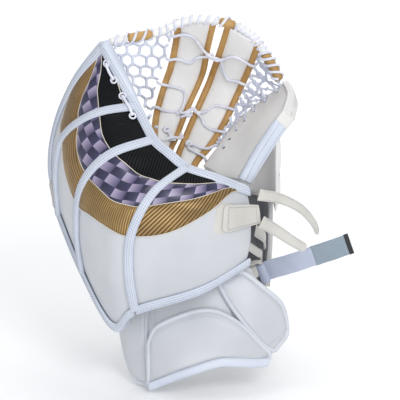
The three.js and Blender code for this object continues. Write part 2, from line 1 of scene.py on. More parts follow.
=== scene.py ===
"""Ice-hockey goalkeeper's catching glove, left hand, seen from the shooter's side."""
import json
import math
import bmesh
import bpy
import numpy as np
from mathutils import Vector
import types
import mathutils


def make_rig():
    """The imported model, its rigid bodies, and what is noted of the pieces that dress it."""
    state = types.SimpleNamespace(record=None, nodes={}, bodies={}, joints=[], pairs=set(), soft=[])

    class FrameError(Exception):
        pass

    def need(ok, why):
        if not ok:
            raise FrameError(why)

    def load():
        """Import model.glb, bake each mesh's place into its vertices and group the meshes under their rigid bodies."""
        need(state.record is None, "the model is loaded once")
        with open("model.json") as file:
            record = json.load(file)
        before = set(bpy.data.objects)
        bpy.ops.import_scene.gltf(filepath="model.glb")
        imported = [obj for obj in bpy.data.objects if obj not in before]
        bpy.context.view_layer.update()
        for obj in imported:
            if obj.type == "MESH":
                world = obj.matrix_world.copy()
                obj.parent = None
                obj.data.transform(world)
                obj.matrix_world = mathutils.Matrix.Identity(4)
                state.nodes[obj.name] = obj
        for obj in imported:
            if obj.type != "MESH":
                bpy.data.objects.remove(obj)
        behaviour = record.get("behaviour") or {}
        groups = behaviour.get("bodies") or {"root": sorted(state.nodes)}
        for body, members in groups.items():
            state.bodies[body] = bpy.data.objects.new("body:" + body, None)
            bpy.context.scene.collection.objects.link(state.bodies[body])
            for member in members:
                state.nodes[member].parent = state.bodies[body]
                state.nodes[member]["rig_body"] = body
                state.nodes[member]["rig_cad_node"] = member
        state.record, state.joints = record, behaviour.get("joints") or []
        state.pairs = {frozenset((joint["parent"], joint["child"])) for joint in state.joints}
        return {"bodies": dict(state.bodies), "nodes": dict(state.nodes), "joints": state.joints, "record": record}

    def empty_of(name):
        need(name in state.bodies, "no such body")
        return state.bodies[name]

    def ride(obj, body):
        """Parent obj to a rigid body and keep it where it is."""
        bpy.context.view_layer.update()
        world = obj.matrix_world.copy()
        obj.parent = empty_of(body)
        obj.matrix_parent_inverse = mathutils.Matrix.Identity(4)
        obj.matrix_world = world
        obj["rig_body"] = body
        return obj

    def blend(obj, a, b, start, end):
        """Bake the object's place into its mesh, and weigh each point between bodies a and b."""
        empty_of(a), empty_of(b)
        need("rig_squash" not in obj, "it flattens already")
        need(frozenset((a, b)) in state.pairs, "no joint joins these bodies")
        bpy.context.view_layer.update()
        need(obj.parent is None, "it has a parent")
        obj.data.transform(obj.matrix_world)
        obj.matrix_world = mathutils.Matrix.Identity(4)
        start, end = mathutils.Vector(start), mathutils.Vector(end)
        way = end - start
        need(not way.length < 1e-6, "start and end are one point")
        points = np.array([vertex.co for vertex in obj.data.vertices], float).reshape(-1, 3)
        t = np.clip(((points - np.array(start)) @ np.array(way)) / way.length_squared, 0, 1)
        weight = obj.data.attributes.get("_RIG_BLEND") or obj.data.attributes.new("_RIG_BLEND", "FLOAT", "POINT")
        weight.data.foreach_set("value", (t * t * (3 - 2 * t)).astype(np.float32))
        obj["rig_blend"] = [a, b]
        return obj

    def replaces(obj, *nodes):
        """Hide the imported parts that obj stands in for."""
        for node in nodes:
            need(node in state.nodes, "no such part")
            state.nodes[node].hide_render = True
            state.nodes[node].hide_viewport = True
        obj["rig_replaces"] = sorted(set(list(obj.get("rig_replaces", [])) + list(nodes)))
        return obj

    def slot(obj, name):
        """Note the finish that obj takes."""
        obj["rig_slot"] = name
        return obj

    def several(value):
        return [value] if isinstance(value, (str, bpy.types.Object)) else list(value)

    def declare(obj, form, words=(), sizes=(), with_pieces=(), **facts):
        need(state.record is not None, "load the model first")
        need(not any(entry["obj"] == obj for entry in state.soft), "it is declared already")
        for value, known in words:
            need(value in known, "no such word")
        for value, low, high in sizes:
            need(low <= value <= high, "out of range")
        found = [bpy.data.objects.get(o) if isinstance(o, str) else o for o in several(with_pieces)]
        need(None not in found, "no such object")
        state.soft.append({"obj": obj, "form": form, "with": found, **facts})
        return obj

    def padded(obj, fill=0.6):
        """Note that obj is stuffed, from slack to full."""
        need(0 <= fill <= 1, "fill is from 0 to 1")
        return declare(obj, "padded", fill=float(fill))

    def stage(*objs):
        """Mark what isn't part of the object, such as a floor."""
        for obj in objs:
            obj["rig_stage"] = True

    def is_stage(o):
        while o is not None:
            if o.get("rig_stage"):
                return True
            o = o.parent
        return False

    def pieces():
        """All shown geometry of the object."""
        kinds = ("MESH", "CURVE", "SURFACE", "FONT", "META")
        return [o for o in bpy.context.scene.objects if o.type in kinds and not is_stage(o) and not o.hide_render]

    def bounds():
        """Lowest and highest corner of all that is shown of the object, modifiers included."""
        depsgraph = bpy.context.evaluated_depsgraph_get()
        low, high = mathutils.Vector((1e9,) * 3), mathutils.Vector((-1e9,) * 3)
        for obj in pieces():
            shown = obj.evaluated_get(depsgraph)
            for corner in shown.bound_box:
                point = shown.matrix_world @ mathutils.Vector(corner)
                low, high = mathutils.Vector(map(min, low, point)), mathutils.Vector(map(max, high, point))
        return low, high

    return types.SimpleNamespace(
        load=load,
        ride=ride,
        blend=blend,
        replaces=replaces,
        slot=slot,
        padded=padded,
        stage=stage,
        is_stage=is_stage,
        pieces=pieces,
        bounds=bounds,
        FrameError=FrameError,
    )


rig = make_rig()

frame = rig.load()
cad_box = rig.bounds()

# ---------------------------------------------------------------- camera, floor and light
# A long lens, level with the glove's left-right axis and looking slightly down.
aim = Vector((-0.008, -0.020, 0.104))
tilt = math.radians(18)
camera_data = bpy.data.cameras.new("camera")
camera_data.lens = 240
camera_data.sensor_width = 36
camera_data.clip_end = 20
camera = bpy.data.objects.new("camera", camera_data)
CAMERA_AWAY = 3.0     # metres
camera.location = aim + Vector((0, -math.cos(tilt), math.sin(tilt))) * CAMERA_AWAY
camera.rotation_euler = (math.pi / 2 - tilt, 0, 0)
bpy.context.collection.objects.link(camera)
bpy.context.scene.camera = camera

world = bpy.data.worlds.new("studio")
world.use_nodes = True
world.node_tree.nodes["Background"].inputs["Color"].default_value = (0.96, 0.975, 1.0, 1)
world.node_tree.nodes["Background"].inputs["Strength"].default_value = 0.66
bpy.context.scene.world = world
bpy.context.scene.view_settings.view_transform = "Standard"
for name, place, size, power in (
    ("key", (0.8, -1.9, 1.7), 1.0, 21),
    ("fill", (-0.3, -2.7, 0.10), 1.6, 24),
    ("top", (0.2, 0.5, 2.1), 1.2, 9),
    ("back", (0.4, 2.0, 1.0), 1.4, 12),
):
    data = bpy.data.lights.new(name, "AREA")
    data.size = size
    data.energy = power
    light = bpy.data.objects.new(name, data)
    light.location = place
    light.rotation_euler = (aim - Vector(place)).to_track_quat("-Z", "Y").to_euler()
    bpy.context.collection.objects.link(light)

floor_mesh = bpy.data.meshes.new("floor")
FLOOR_HEIGHT, FLOOR_HALF = -0.101, 9
corners = [(x * FLOOR_HALF, y * FLOOR_HALF, FLOOR_HEIGHT) for x, y in ((-1, -1), (1, -1), (1, 1), (-1, 1))]
floor_mesh.from_pydata(corners, [], [(0, 1, 2, 3)])
floor = bpy.data.objects.new("floor", floor_mesh)
bpy.context.collection.objects.link(floor)
paper = bpy.data.materials.new("floor_paper")
paper.use_nodes = True
paper.node_tree.nodes["Principled BSDF"].inputs["Base Color"].default_value = (0.97, 0.975, 0.98, 1)
paper.node_tree.nodes["Principled BSDF"].inputs["Roughness"].default_value = 0.9
floor_mesh.materials.append(paper)
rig.stage(floor)

# ---------------------------------------------------------------- thumb and heel shell
# Four foam boards under white synthetic leather, quilted apart by ribs. They wrap the front of
# the glove from the thumb's outer edge to the palm, and the last board is the heel.


def at(x, y, z):
    """A point of the glove's working drawing, in metres from where the hand enters."""
    return np.array([x - 8.0, y - 20.0, z - 120.0]) / 1000


def four_weights(f):
    """How four neighbours share a place a fraction f past the second one."""
    return [-0.5 * f + f * f - 0.5 * f ** 3, 1 - 2.5 * f * f + 1.5 * f ** 3,
            0.5 * f + 2 * f * f - 1.5 * f ** 3, -0.5 * f * f + 0.5 * f ** 3]


def blended(c, i, f):
    """The smooth line through the rows of c, a fraction f past row i + 1."""
    w = four_weights(f)
    return c[i] * w[0] + c[i + 1] * w[1] + c[i + 2] * w[2] + c[i + 3] * w[3]


class Sheet:
    """A smooth surface through lines of points: u counts the lines, v the points on each."""

    def __init__(self, lines):
        c = np.array([[at(*p) for p in line] for line in lines])
        for axis in (0, 1):
            c = np.moveaxis(c, axis, 0)
            first, last = c[1] - c[0], c[-1] - c[-2]
            c = np.concatenate([[c[0] - first * k for k in (3, 2, 1)], c,
                                [c[-1] + last * k for k in (1, 2, 3)]])
            c = np.moveaxis(c, 0, axis)
        self.c = c

    def weights(self, t, count):
        t = np.clip(np.asarray(t, float), -1.9, count - 6 + 0.9)
        i = np.floor(t)
        return i.astype(int) + 2, four_weights(t - i)

    def __call__(self, u, v):
        u, v = np.broadcast_arrays(np.asarray(u, float), np.asarray(v, float))
        i, wu = self.weights(u, self.c.shape[0])
        j, wv = self.weights(v, self.c.shape[1])
        return sum((wu[a] * wv[b])[..., None] * self.c[i + a, j + b] for a in range(4) for b in range(4))

    def along_u(self, u, v):
        d = self(np.asarray(u) + 0.02, v) - self(np.asarray(u) - 0.02, v)
        return d / np.linalg.norm(d, axis=-1, keepdims=True)

    def along_v(self, u, v):
        d = self(u, np.asarray(v) + 0.02) - self(u, np.asarray(v) - 0.02)
        return d / np.linalg.norm(d, axis=-1, keepdims=True)

    def normal(self, u, v):
        n = np.cross(self.along_v(u, v), self.along_u(u, v))
        return n / np.linalg.norm(n, axis=-1, keepdims=True)

    def lifted(self, u, v, high):
        return self(u, v) + self.normal(u, v) * np.asarray(high)[..., None]


def mesh_object(name, points, faces, material, uv=None):
    """A new object in the scene, shaded smooth, with a pattern's coordinates if it has them."""
    mesh = bpy.data.meshes.new(name)
    mesh.from_pydata([tuple(p) for p in points], [], faces)
    mesh.materials.append(material)
    if uv is not None:
        layer = mesh.uv_layers.new(name="UVMap")
        loops = np.empty(len(mesh.loops), int)
        mesh.loops.foreach_get("vertex_index", loops)
        layer.data.foreach_set("uv", np.asarray(uv, np.float32)[loops].ravel())
    mesh.polygons.foreach_set("use_smooth", [True] * len(mesh.polygons))
    mesh.update()
    made = bpy.data.objects.new(name, mesh)
    bpy.context.collection.objects.link(made)
    return made


def facing_out(made):
    """Every face of the closed piece looks outwards."""
    bm = bmesh.new()
    bm.from_mesh(made.data)
    bmesh.ops.recalc_face_normals(bm, faces=bm.faces)
    if bm.calc_volume(signed=True) < 0:
        bmesh.ops.reverse_faces(bm, faces=bm.faces)
    bm.to_mesh(made.data)
    bm.free()
    return made


def slab(name, outer, inner, material, uv=None):
    """A closed pad between two grids of points of one shape."""
    n, m = outer.shape[:2]
    points = np.concatenate([outer.reshape(-1, 3), inner.reshape(-1, 3)])
    k = np.arange(n * m).reshape(n, m)
    a, b, c, d = (x.ravel() for x in (k[:-1, :-1], k[1:, :-1], k[1:, 1:], k[:-1, 1:]))
    top = np.stack([a, b, c, d], 1)
    faces = [*top.tolist(), *(top[:, ::-1] + n * m).tolist()]
    ring = np.concatenate([k[:, 0], k[-1, 1:], k[-2::-1, -1], k[0, -2:0:-1]])
    for p, q in zip(ring, np.roll(ring, -1)):
        faces.append([int(q), int(p), int(p + n * m), int(q + n * m)])
    coords = None if uv is None else np.concatenate([uv.reshape(-1, 2)] * 2)
    return facing_out(mesh_object(name, points, faces, material, coords))


def placed(made, body, slot=None, node=None):
    """Puts a piece on its body, with its slot and the CAD part it stands for."""
    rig.ride(made, body)
    if node:
        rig.replaces(made, node)
    if slot:
        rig.slot(made, slot)
    return made


def grid(nu, nv):
    """Two fractions that run along a piece and across it."""
    return np.meshgrid(np.linspace(0, 1, nu), np.linspace(0, 1, nv), indexing="ij")


def lengths(points):
    """Distances along both directions of a face, in metres, for patterns at true scale."""
    du = np.linalg.norm(np.diff(points, axis=0), axis=-1).mean(1)
    dv = np.linalg.norm(np.diff(points, axis=1), axis=-1)
    a = np.concatenate([[0], np.cumsum(du)])
    b = np.concatenate([np.zeros((points.shape[0], 1)), np.cumsum(dv, 1)], 1)
    return np.stack([np.broadcast_to(a[:, None], b.shape), b], -1)


def round_edge(s, t, power=6):
    """1 in the middle of a panel and 0 at its edges."""
    return (1 - np.abs(2 * s - 1) ** power) * (1 - np.abs(2 * t - 1) ** power)


def new_tree(name, kind, inputs, outputs):
    """A node group with named sockets: inputs are (name, type, default), outputs (name, type)."""
    tree = bpy.data.node_groups.new(name, kind)
    for label, shape, default in inputs:
        socket = tree.interface.new_socket(label, in_out="INPUT", socket_type="NodeSocket" + shape)
        if default is not None:
            socket.default_value = default
    for label, shape in outputs:
        tree.interface.new_socket(label, in_out="OUTPUT", socket_type="NodeSocket" + shape)
    return tree


def add(tree, nodes, name, kind, settings=(), **values):
    """Adds a node under a short name; settings are its properties, values its inputs."""
    node = nodes[name] = tree.nodes.new(kind)
    for key, value in dict(settings).items():
        setattr(node, key, value)
    for key, value in values.items():
        node.inputs[key.replace("_", " ")].default_value = value
    return node


def wire(tree, nodes, text):
    """Joins sockets: each pair reads node.output > node.input, by name or number."""
    for pair in text.split(", "):
        (a, out), (b, into) = (end.split(".") for end in pair.split(" > "))
        out, into = (int(x) if x.isdigit() else x for x in (out, into))
        tree.links.new(nodes[a].outputs[out], nodes[b].inputs[into])


def relief_group():
    """Grain of smooth synthetic leather: pores, fine wrinkles and broad handling marks."""
    tree = new_tree("leather relief", "ShaderNodeTree", [("Scale", "Float", 1), ("Depth", "Float", 0.3)],
                    [("Normal", "Vector"), ("Mottle", "Float")])
    nodes = {}
    add(tree, nodes, "entry", "NodeGroupInput")
    add(tree, nodes, "leave", "NodeGroupOutput")
    add(tree, nodes, "place", "ShaderNodeTexCoord")
    add(tree, nodes, "scaled", "ShaderNodeVectorMath", {"operation": "SCALE"})
    add(tree, nodes, "pores", "ShaderNodeTexVoronoi", Scale=700)
    add(tree, nodes, "wrinkles", "ShaderNodeTexNoise", Scale=42, Detail=5, Distortion=0.6)
    add(tree, nodes, "marks", "ShaderNodeTexNoise", Scale=14, Detail=3)
    add(tree, nodes, "fine", "ShaderNodeBump", Distance=0.0002)
    add(tree, nodes, "broad", "ShaderNodeBump", Distance=0.0012)
    wire(tree, nodes, "place.Object > scaled.0, entry.Scale > scaled.Scale, scaled.0 > pores.Vector, "
         "scaled.0 > wrinkles.Vector, scaled.0 > marks.Vector, pores.Distance > fine.Height, "
         "entry.Depth > fine.Strength, wrinkles.Fac > broad.Height, entry.Depth > broad.Strength, "
         "fine.0 > broad.Normal, broad.0 > leave.Normal, marks.Fac > leave.Mottle")
    return tree


leather_relief = relief_group()


def new_material(name, **values):
    """A Principled material: its tree, and its nodes by short name."""
    material = bpy.data.materials.new(name)
    material.use_nodes = True
    nodes = {"shader": material.node_tree.nodes["Principled BSDF"]}
    for key, value in values.items():
        nodes["shader"].inputs[key.replace("_", " ")].default_value = value
    return material, material.node_tree, nodes


def leather(name, light, dark, roughness, scale=1.0, depth=0.3, coat=0.0):
    """Leather whose colour wanders between two tones, with pores and wrinkles."""
    material, tree, nodes = new_material(name, Roughness=roughness, Coat_Weight=coat, Coat_Roughness=0.25)
    add(tree, nodes, "relief", "ShaderNodeGroup", {"node_tree": leather_relief}, Scale=scale, Depth=depth)
    ramp = add(tree, nodes, "tone", "ShaderNodeValToRGB").color_ramp.elements
    for element, position, colour in zip(ramp, (0.35, 0.62), (dark, light)):
        element.position = position
        element.color = (*colour, 1)
    wire(tree, nodes, "relief.Mottle > tone.Fac, tone.Color > shader.Base Color, "
         "relief.Normal > shader.Normal")
    return material


white_leather = leather("white leather", (0.555, 0.573, 0.603), (0.505, 0.522, 0.552), 0.40, coat=0.12)

shell = Sheet([
    [(-108, 14, 400), (-139, 35, 355), (-162, 50, 300), (-170, 55, 245), (-160, 52, 190)],
    [(-71, -15, 338), (-118, -20, 329), (-152, 5, 296), (-162, 22, 250), (-160, 28, 197)],
    [(-51, -41, 307), (-100, -58, 294), (-130, -46, 255), (-137, -32, 200), (-132, -25, 147)],
    [(-36, -52, 296), (-80, -74, 265), (-106, -72, 229), (-110, -68, 165), (-97, -62, 96)],
    [(-15, -60, 281), (-52, -86, 259), (-75, -92, 215), (-78, -90, 168), (-72, -80, 121)],
    [(17, -58, 268), (10, -80, 238), (5, -88, 206), (1, -86, 175), (0, -78, 144)],
    [(53, -40, 248), (57, -44, 228), (58, -46, 206), (57, -46, 185), (53, -42, 164)],
])
FOLD = 4          # the fold line between the thumb and the heel
BOARD = 0.016     # the boards' thickness in metres


def deep(u):
    """The boards' thickness: they thin out towards the thumb's tip."""
    return BOARD * (0.5 + 0.5 * np.clip(u, 0, 1))


def board(name, u0, u1, node, body, relief, nu, crown):
    """One padded panel of the shell; relief eases its back edge away from the next board."""
    s, t = grid(nu, 90)
    u, v = u0 + (u1 - u0) * s, 4 * t
    outer = shell.lifted(u, v, -0.0022 + 0.0022 * round_edge(s, t, 14) + crown * round_edge(s, t, 3))
    inner = shell.lifted(u, v, -deep(u) + 0.003 * (1 - round_edge(s, t, 14)))
    inner -= shell.along_u(u, v) * (relief * s ** 12)[..., None]
    made = slab(name, outer, inner, white_leather, lengths(outer))
    placed(made, body, "white_leather", node)
    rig.padded(made, 0.9)


BOARDS = [
    ("thumb_tip_panel", 0.0, 0.99, "thumb_tip_board", "thumb", 0.002, 26, 0.0004),
    ("thumb_side_panel", 1.01, 1.99, "thumb_side_board", "thumb", 0.002, 26, 0.0010),
    ("thumb_base_panel", 2.01, 3.985, "thumb_base_board", "thumb", 0.007, 50, 0.0022),
    ("heel_panel", 4.015, 6.0, "heel_board", "palm", 0.0, 50, 0.0025),
]
for values in BOARDS:
    board(*values)


def puffed(u, v):
    """How high the boards' padding stands at a place on the shell."""
    high = 0.0 * u
    for _, u0, u1, _, _, _, _, crown in BOARDS:
        s = np.clip((u - u0) / (u1 - u0), 0, 1)
        high = np.maximum(high, crown * round_edge(s, np.clip(v / 4, 0, 1), 3))
    return high


# The fold under the ribs: a strip of stretch leather joins the thumb's last board to the heel.
stretch = leather("stretch leather", (0.50, 0.54, 0.62), (0.42, 0.46, 0.55), 0.6, depth=0.6)
s, t = np.meshgrid(np.linspace(-1, 1, 21), np.linspace(0.02, 0.98, 60), indexing="ij")
u, v = FOLD + 0.22 * s, 4 * t
fold_faces = [shell.lifted(u, v, depth * np.ones_like(u)) for depth in (-0.0035, -0.0055)]
fold_strip = slab("fold_strip", *fold_faces, stretch)
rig.blend(fold_strip, "palm", "thumb", shell(4.2, 2.0), shell(3.8, 2.0))
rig.slot(fold_strip, "white_leather")

# ---------------------------------------------------------------- the three inlays
# Film panels sewn on the boards, following the rim: dark ribbed, indigo print and ribbed gold.


def film_group():
    """Even stripes across a film: the angle turns them, the pitch is in metres."""
    tree = new_tree("film stripes", "ShaderNodeTree", [("Pitch", "Float", 0.003), ("Angle", "Float", 0)],
                    [("Stripe", "Float"), ("Normal", "Vector")])
    nodes = {}
    add(tree, nodes, "entry", "NodeGroupInput")
    add(tree, nodes, "leave", "NodeGroupOutput")
    add(tree, nodes, "place", "ShaderNodeTexCoord")
    add(tree, nodes, "turn", "ShaderNodeVectorRotate", {"rotation_type": "Z_AXIS"})
    add(tree, nodes, "apart", "ShaderNodeSeparateXYZ")
    add(tree, nodes, "count", "ShaderNodeMath", {"operation": "DIVIDE"})
    add(tree, nodes, "wave", "ShaderNodeMath", {"operation": "PINGPONG"}).inputs[1].default_value = 0.5
    add(tree, nodes, "shape", "ShaderNodeMapRange", {"interpolation_type": "SMOOTHSTEP"},
        From_Min=0.08, From_Max=0.34)
    add(tree, nodes, "bump", "ShaderNodeBump", Distance=0.0006, Strength=0.8)
    wire(tree, nodes, "place.UV > turn.Vector, entry.Angle > turn.Angle, turn.0 > apart.0, "
         "apart.X > count.0, entry.Pitch > count.1, count.0 > wave.0, wave.0 > shape.Value, "
         "shape.0 > bump.Height, shape.0 > leave.Stripe, bump.0 > leave.Normal")
    return tree


film_stripes = film_group()


def film(name, raised, sunk, pitch, angle, roughness, metallic):
    """Ribbed film: two colours on the ribs and between them, with broad patches of painted highlight and painted
    shade.
    """
    material, tree, nodes = new_material(name, Roughness=roughness, Metallic=metallic)
    add(tree, nodes, "stripes", "ShaderNodeGroup", {"node_tree": film_stripes}, Pitch=pitch, Angle=angle)
    # Broad noise patches scale the film's colour from 0.72 to 1.2 times: painted highlights and painted shade.
    add(tree, nodes, "wear", "ShaderNodeTexNoise", Scale=28, Detail=3)
    add(tree, nodes, "place", "ShaderNodeTexCoord")
    add(tree, nodes, "blend", "ShaderNodeMix", {"data_type": "RGBA"}, A=(*sunk, 1), B=(*raised, 1))
    add(tree, nodes, "shade", "ShaderNodeMapRange", To_Min=0.72, To_Max=1.2, From_Min=0.3, From_Max=0.7)
    add(tree, nodes, "scaled", "ShaderNodeVectorMath", {"operation": "SCALE"})
    wire(tree, nodes, "place.Object > wear.Vector, stripes.Stripe > blend.Factor, wear.Fac > shade.Value, "
         "blend.Result > scaled.0, shade.0 > scaled.Scale, scaled.0 > shader.Base Color, "
         "stripes.Normal > shader.Normal")
    return material


carbon = film("carbon film", (0.008, 0.009, 0.011), (0.0015, 0.002, 0.0025), 0.0030, 0.0, 0.40, 0.0)
carbon_turned = film("carbon film turned", (0.012, 0.013, 0.015), (0.0015, 0.002, 0.0025), 0.0030, 0.55,
                     0.40, 0.0)
for dark in (carbon, carbon_turned):
    dark.node_tree.nodes["Principled BSDF"].inputs["Specular IOR Level"].default_value = 0.10
gold = film("gold film", (0.35, 0.225, 0.088), (0.095, 0.052, 0.016), 0.0050, -0.60, 0.33, 0.5)
gold_fine = film("gold film fine", (0.38, 0.245, 0.095), (0.16, 0.095, 0.033), 0.0026, 0.15, 0.33, 0.5)
gold_long = film("gold film long", (0.36, 0.225, 0.085), (0.15, 0.085, 0.028), 0.0040, 1.45, 0.33, 0.5)


def chequer():
    """Indigo and lavender blocks, each one fading from light to dark along the band."""
    material, tree, nodes = new_material("chequer film", Roughness=0.33)
    add(tree, nodes, "place", "ShaderNodeTexCoord")
    add(tree, nodes, "turn", "ShaderNodeVectorRotate", {"rotation_type": "Z_AXIS"}, Angle=0.22)
    cell = add(tree, nodes, "cell", "ShaderNodeVectorMath", {"operation": "DIVIDE"})
    cell.inputs[1].default_value = (0.0140, 0.0115, 1)
    add(tree, nodes, "floor", "ShaderNodeVectorMath", {"operation": "FLOOR"})
    add(tree, nodes, "fraction", "ShaderNodeVectorMath", {"operation": "FRACTION"})
    add(tree, nodes, "whole", "ShaderNodeSeparateXYZ")
    add(tree, nodes, "part", "ShaderNodeSeparateXYZ")
    add(tree, nodes, "total", "ShaderNodeMath", {"operation": "ADD"})
    add(tree, nodes, "odd", "ShaderNodeMath", {"operation": "FLOORED_MODULO"}).inputs[1].default_value = 2
    for label, first, last in (
        ("light", (0.38, 0.33, 0.47, 1), (0.060, 0.052, 0.125, 1)),
        ("dark", (0.016, 0.015, 0.042, 1), (0.040, 0.040, 0.095, 1)),
    ):
        ramp = add(tree, nodes, label, "ShaderNodeValToRGB").color_ramp.elements
        ramp[0].color = first
        ramp[1].color = last
    add(tree, nodes, "pick", "ShaderNodeMix", {"data_type": "RGBA"})
    add(tree, nodes, "relief", "ShaderNodeGroup", {"node_tree": leather_relief}, Depth=0.15)
    wire(tree, nodes, "place.UV > turn.Vector, turn.0 > cell.0, cell.0 > floor.0, cell.0 > fraction.0, "
         "floor.0 > whole.0, fraction.0 > part.0, whole.X > total.0, whole.Y > total.1, total.0 > odd.0, "
         "part.X > light.Fac, part.X > dark.Fac, odd.0 > pick.Factor, light.Color > pick.A, "
         "dark.Color > pick.B, pick.Result > shader.Base Color, relief.Normal > shader.Normal")
    return material


print_film = chequer()

BANDS = [
    [0.02] * 15,
    [0.02, 0.30, 0.60, 0.74, 0.84, 0.95, 0.88, 0.74, 0.68, 0.65, 0.62, 0.40, 0.15, 0.05, 0.03],
    [0.10, 0.60, 1.06, 1.30, 1.42, 1.70, 1.70, 1.57, 1.51, 1.42, 1.34, 0.96, 0.46, 0.13, 0.09],
    [1.10, 1.58, 1.86, 2.02, 2.08, 2.42, 2.44, 2.23, 2.14, 2.08, 2.06, 1.80, 1.02, 0.30, 0.15],
]


def band_end(k, u):
    """How far from the rim, along v, the k-th boundary lies.

    A boundary is given at every quarter of u up to 1, then at every half.
    """
    c = np.array([2 * BANDS[k][0] - BANDS[k][1], *BANDS[k], 2 * BANDS[k][-1] - BANDS[k][-2]])
    t = np.clip(np.where(u < 1, 4 * u, 2 + 2 * u), 0, 13.999)
    i = np.floor(t).astype(int)
    return blended(c, i, t - i)


def inlay(name, k, materials, nodes, slot, crown):
    """One film between two boundaries, a panel for each board, each with its own material."""
    panels = ((0.06, 0.975, "thumb"), (1.025, 1.975, "thumb"), (2.025, 3.975, "thumb"),
              (4.02, 5.80, "palm"))
    for side, node in zip(("thumb", "palm"), nodes):
        made = []
        for (u0, u1, body), material in zip(panels, materials):
            if body != side:
                continue
            nu = int(40 * (u1 - u0)) + 8
            s, t = grid(nu, 26)
            u = u0 + (u1 - u0) * s
            low, high = band_end(k - 1, u), band_end(k, u)
            v = low + (high - low) * t
            edge = round_edge(s, t, 10)
            outer = shell.lifted(u, v, puffed(u, v) + 0.0006 + 0.0010 * edge + crown * round_edge(s, t, 2))
            inner = shell.lifted(u, v, -0.0010 * np.ones_like(u))
            uv = lengths(outer)
            uv = uv + (u0 * 0.05, 0)
            made.append(slab(f"{name}_{side}_{len(made)}", outer, inner, material, uv))
        for piece in made:
            placed(piece, side, slot)
        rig.replaces(made[0], node)


inlay("carbon", 1, (carbon, carbon, carbon_turned, carbon_turned),
      ("thumb_carbon_inlay", "heel_carbon_inlay"), "carbon_inlay", 0.0010)
inlay("print", 2, (print_film,) * 4, ("thumb_print_inlay", "heel_print_inlay"), "print_inlay", 0.0012)
inlay("gold", 3, (gold_long, gold_long, gold_fine, gold), ("thumb_gold_inlay", "heel_gold_inlay"),
      "gold_inlay", 0.0012)

# ---------------------------------------------------------------- ribs, bindings and thread
# Leather tape folded over the boards' edges and over padded cord on the seams, sewn twice.


def tube_tree():
    """Edges become round cords: inputs Radius, Sides and Material."""
    tree = new_tree("cord along a path", "GeometryNodeTree",
                    [("Geometry", "Geometry", None), ("Radius", "Float", None), ("Sides", "Int", None),
                     ("Material", "Material", None)], [("Geometry", "Geometry")])
    tree.is_modifier = True
    nodes = {}
    add(tree, nodes, "entry", "NodeGroupInput")
    add(tree, nodes, "leave", "NodeGroupOutput")
    add(tree, nodes, "curve", "GeometryNodeMeshToCurve")
    add(tree, nodes, "ring", "GeometryNodeCurvePrimitiveCircle")
    add(tree, nodes, "sweep", "GeometryNodeCurveToMesh", Fill_Caps=True)
    add(tree, nodes, "smooth", "GeometryNodeSetShadeSmooth")
    add(tree, nodes, "real", "GeometryNodeRealizeInstances")
    add(tree, nodes, "paint", "GeometryNodeSetMaterial")
    wire(tree, nodes, "entry.Geometry > curve.Mesh, entry.Radius > ring.Radius, "
         "entry.Sides > ring.Resolution, curve.Curve > sweep.Curve, ring.Curve > sweep.Profile Curve, "
         "sweep.Mesh > smooth.Geometry, smooth.0 > real.0, real.0 > paint.Geometry, "
         "entry.Material > paint.Material, paint.Geometry > leave.Geometry")
    return tree


def stitch_tree():
    """Short rounded stitches at an even pitch along edges."""
    tree = new_tree("stitches along a path", "GeometryNodeTree",
                    [("Geometry", "Geometry", None), ("Pitch", "Float", None), ("Length", "Float", None),
                     ("Thickness", "Float", None), ("Material", "Material", None)],
                     [("Geometry", "Geometry")])
    tree.is_modifier = True
    nodes = {}
    add(tree, nodes, "entry", "NodeGroupInput")
    add(tree, nodes, "leave", "NodeGroupOutput")
    add(tree, nodes, "curve", "GeometryNodeMeshToCurve")
    add(tree, nodes, "spread", "GeometryNodeCurveToPoints", {"mode": "LENGTH"})
    add(tree, nodes, "bead", "GeometryNodeMeshUVSphere", Segments=6, Rings=5, Radius=1)
    add(tree, nodes, "size", "ShaderNodeCombineXYZ")
    add(tree, nodes, "place", "GeometryNodeInstanceOnPoints")
    add(tree, nodes, "smooth", "GeometryNodeSetShadeSmooth")
    add(tree, nodes, "real", "GeometryNodeRealizeInstances")
    add(tree, nodes, "paint", "GeometryNodeSetMaterial")
    wire(tree, nodes, "entry.Geometry > curve.Mesh, curve.Curve > spread.Curve, entry.Pitch > spread.Length, "
         "entry.Thickness > size.X, entry.Thickness > size.Y, entry.Length > size.Z, "
         "spread.Points > place.Points, spread.Rotation > place.Rotation, bead.Mesh > smooth.Geometry, "
         "smooth.0 > place.Instance, size.0 > place.Scale, place.0 > real.0, real.0 > paint.Geometry, "
         "entry.Material > paint.Material, paint.Geometry > leave.Geometry")
    return tree


cord_tree, thread_tree = tube_tree(), stitch_tree()


def grown(name, paths, tree, closed=False, **values):
    """Runs a tree over paths and keeps the result as a plain mesh."""
    points, edges = [], []
    for path in paths:
        first = len(points)
        points.extend(tuple(map(float, p)) for p in path)
        edges.extend((first + k, first + k + 1) for k in range(len(path) - 1))
        if closed:
            edges.append((len(points) - 1, first))
    mesh = bpy.data.meshes.new(name)
    mesh.from_pydata(points, edges, [])
    made = bpy.data.objects.new(name, mesh)
    bpy.context.collection.objects.link(made)
    modifier = made.modifiers.new("grown", "NODES")
    modifier.node_group = tree
    for item in tree.interface.items_tree:
        if item.in_out == "INPUT" and item.name in values:
            modifier[item.identifier] = values[item.name]
    made.update_tag()
    shown = made.evaluated_get(bpy.context.evaluated_depsgraph_get())
    plain = bpy.data.meshes.new_from_object(shown)
    made.modifiers.clear()
    made.data = plain
    plain.name = name
    return made


def cord(name, paths, radius, material, sides=8, closed=False):
    """Round cords along paths."""
    return grown(name, paths, cord_tree, closed, Radius=radius, Sides=sides, Material=material)


def stitches(name, paths, material, pitch=0.0030, length=0.00105, thickness=0.00032):
    """Rows of stitches along paths; all measures in metres."""
    return grown(name, paths, thread_tree, Pitch=pitch, Length=length, Thickness=thickness,
                 Material=material)


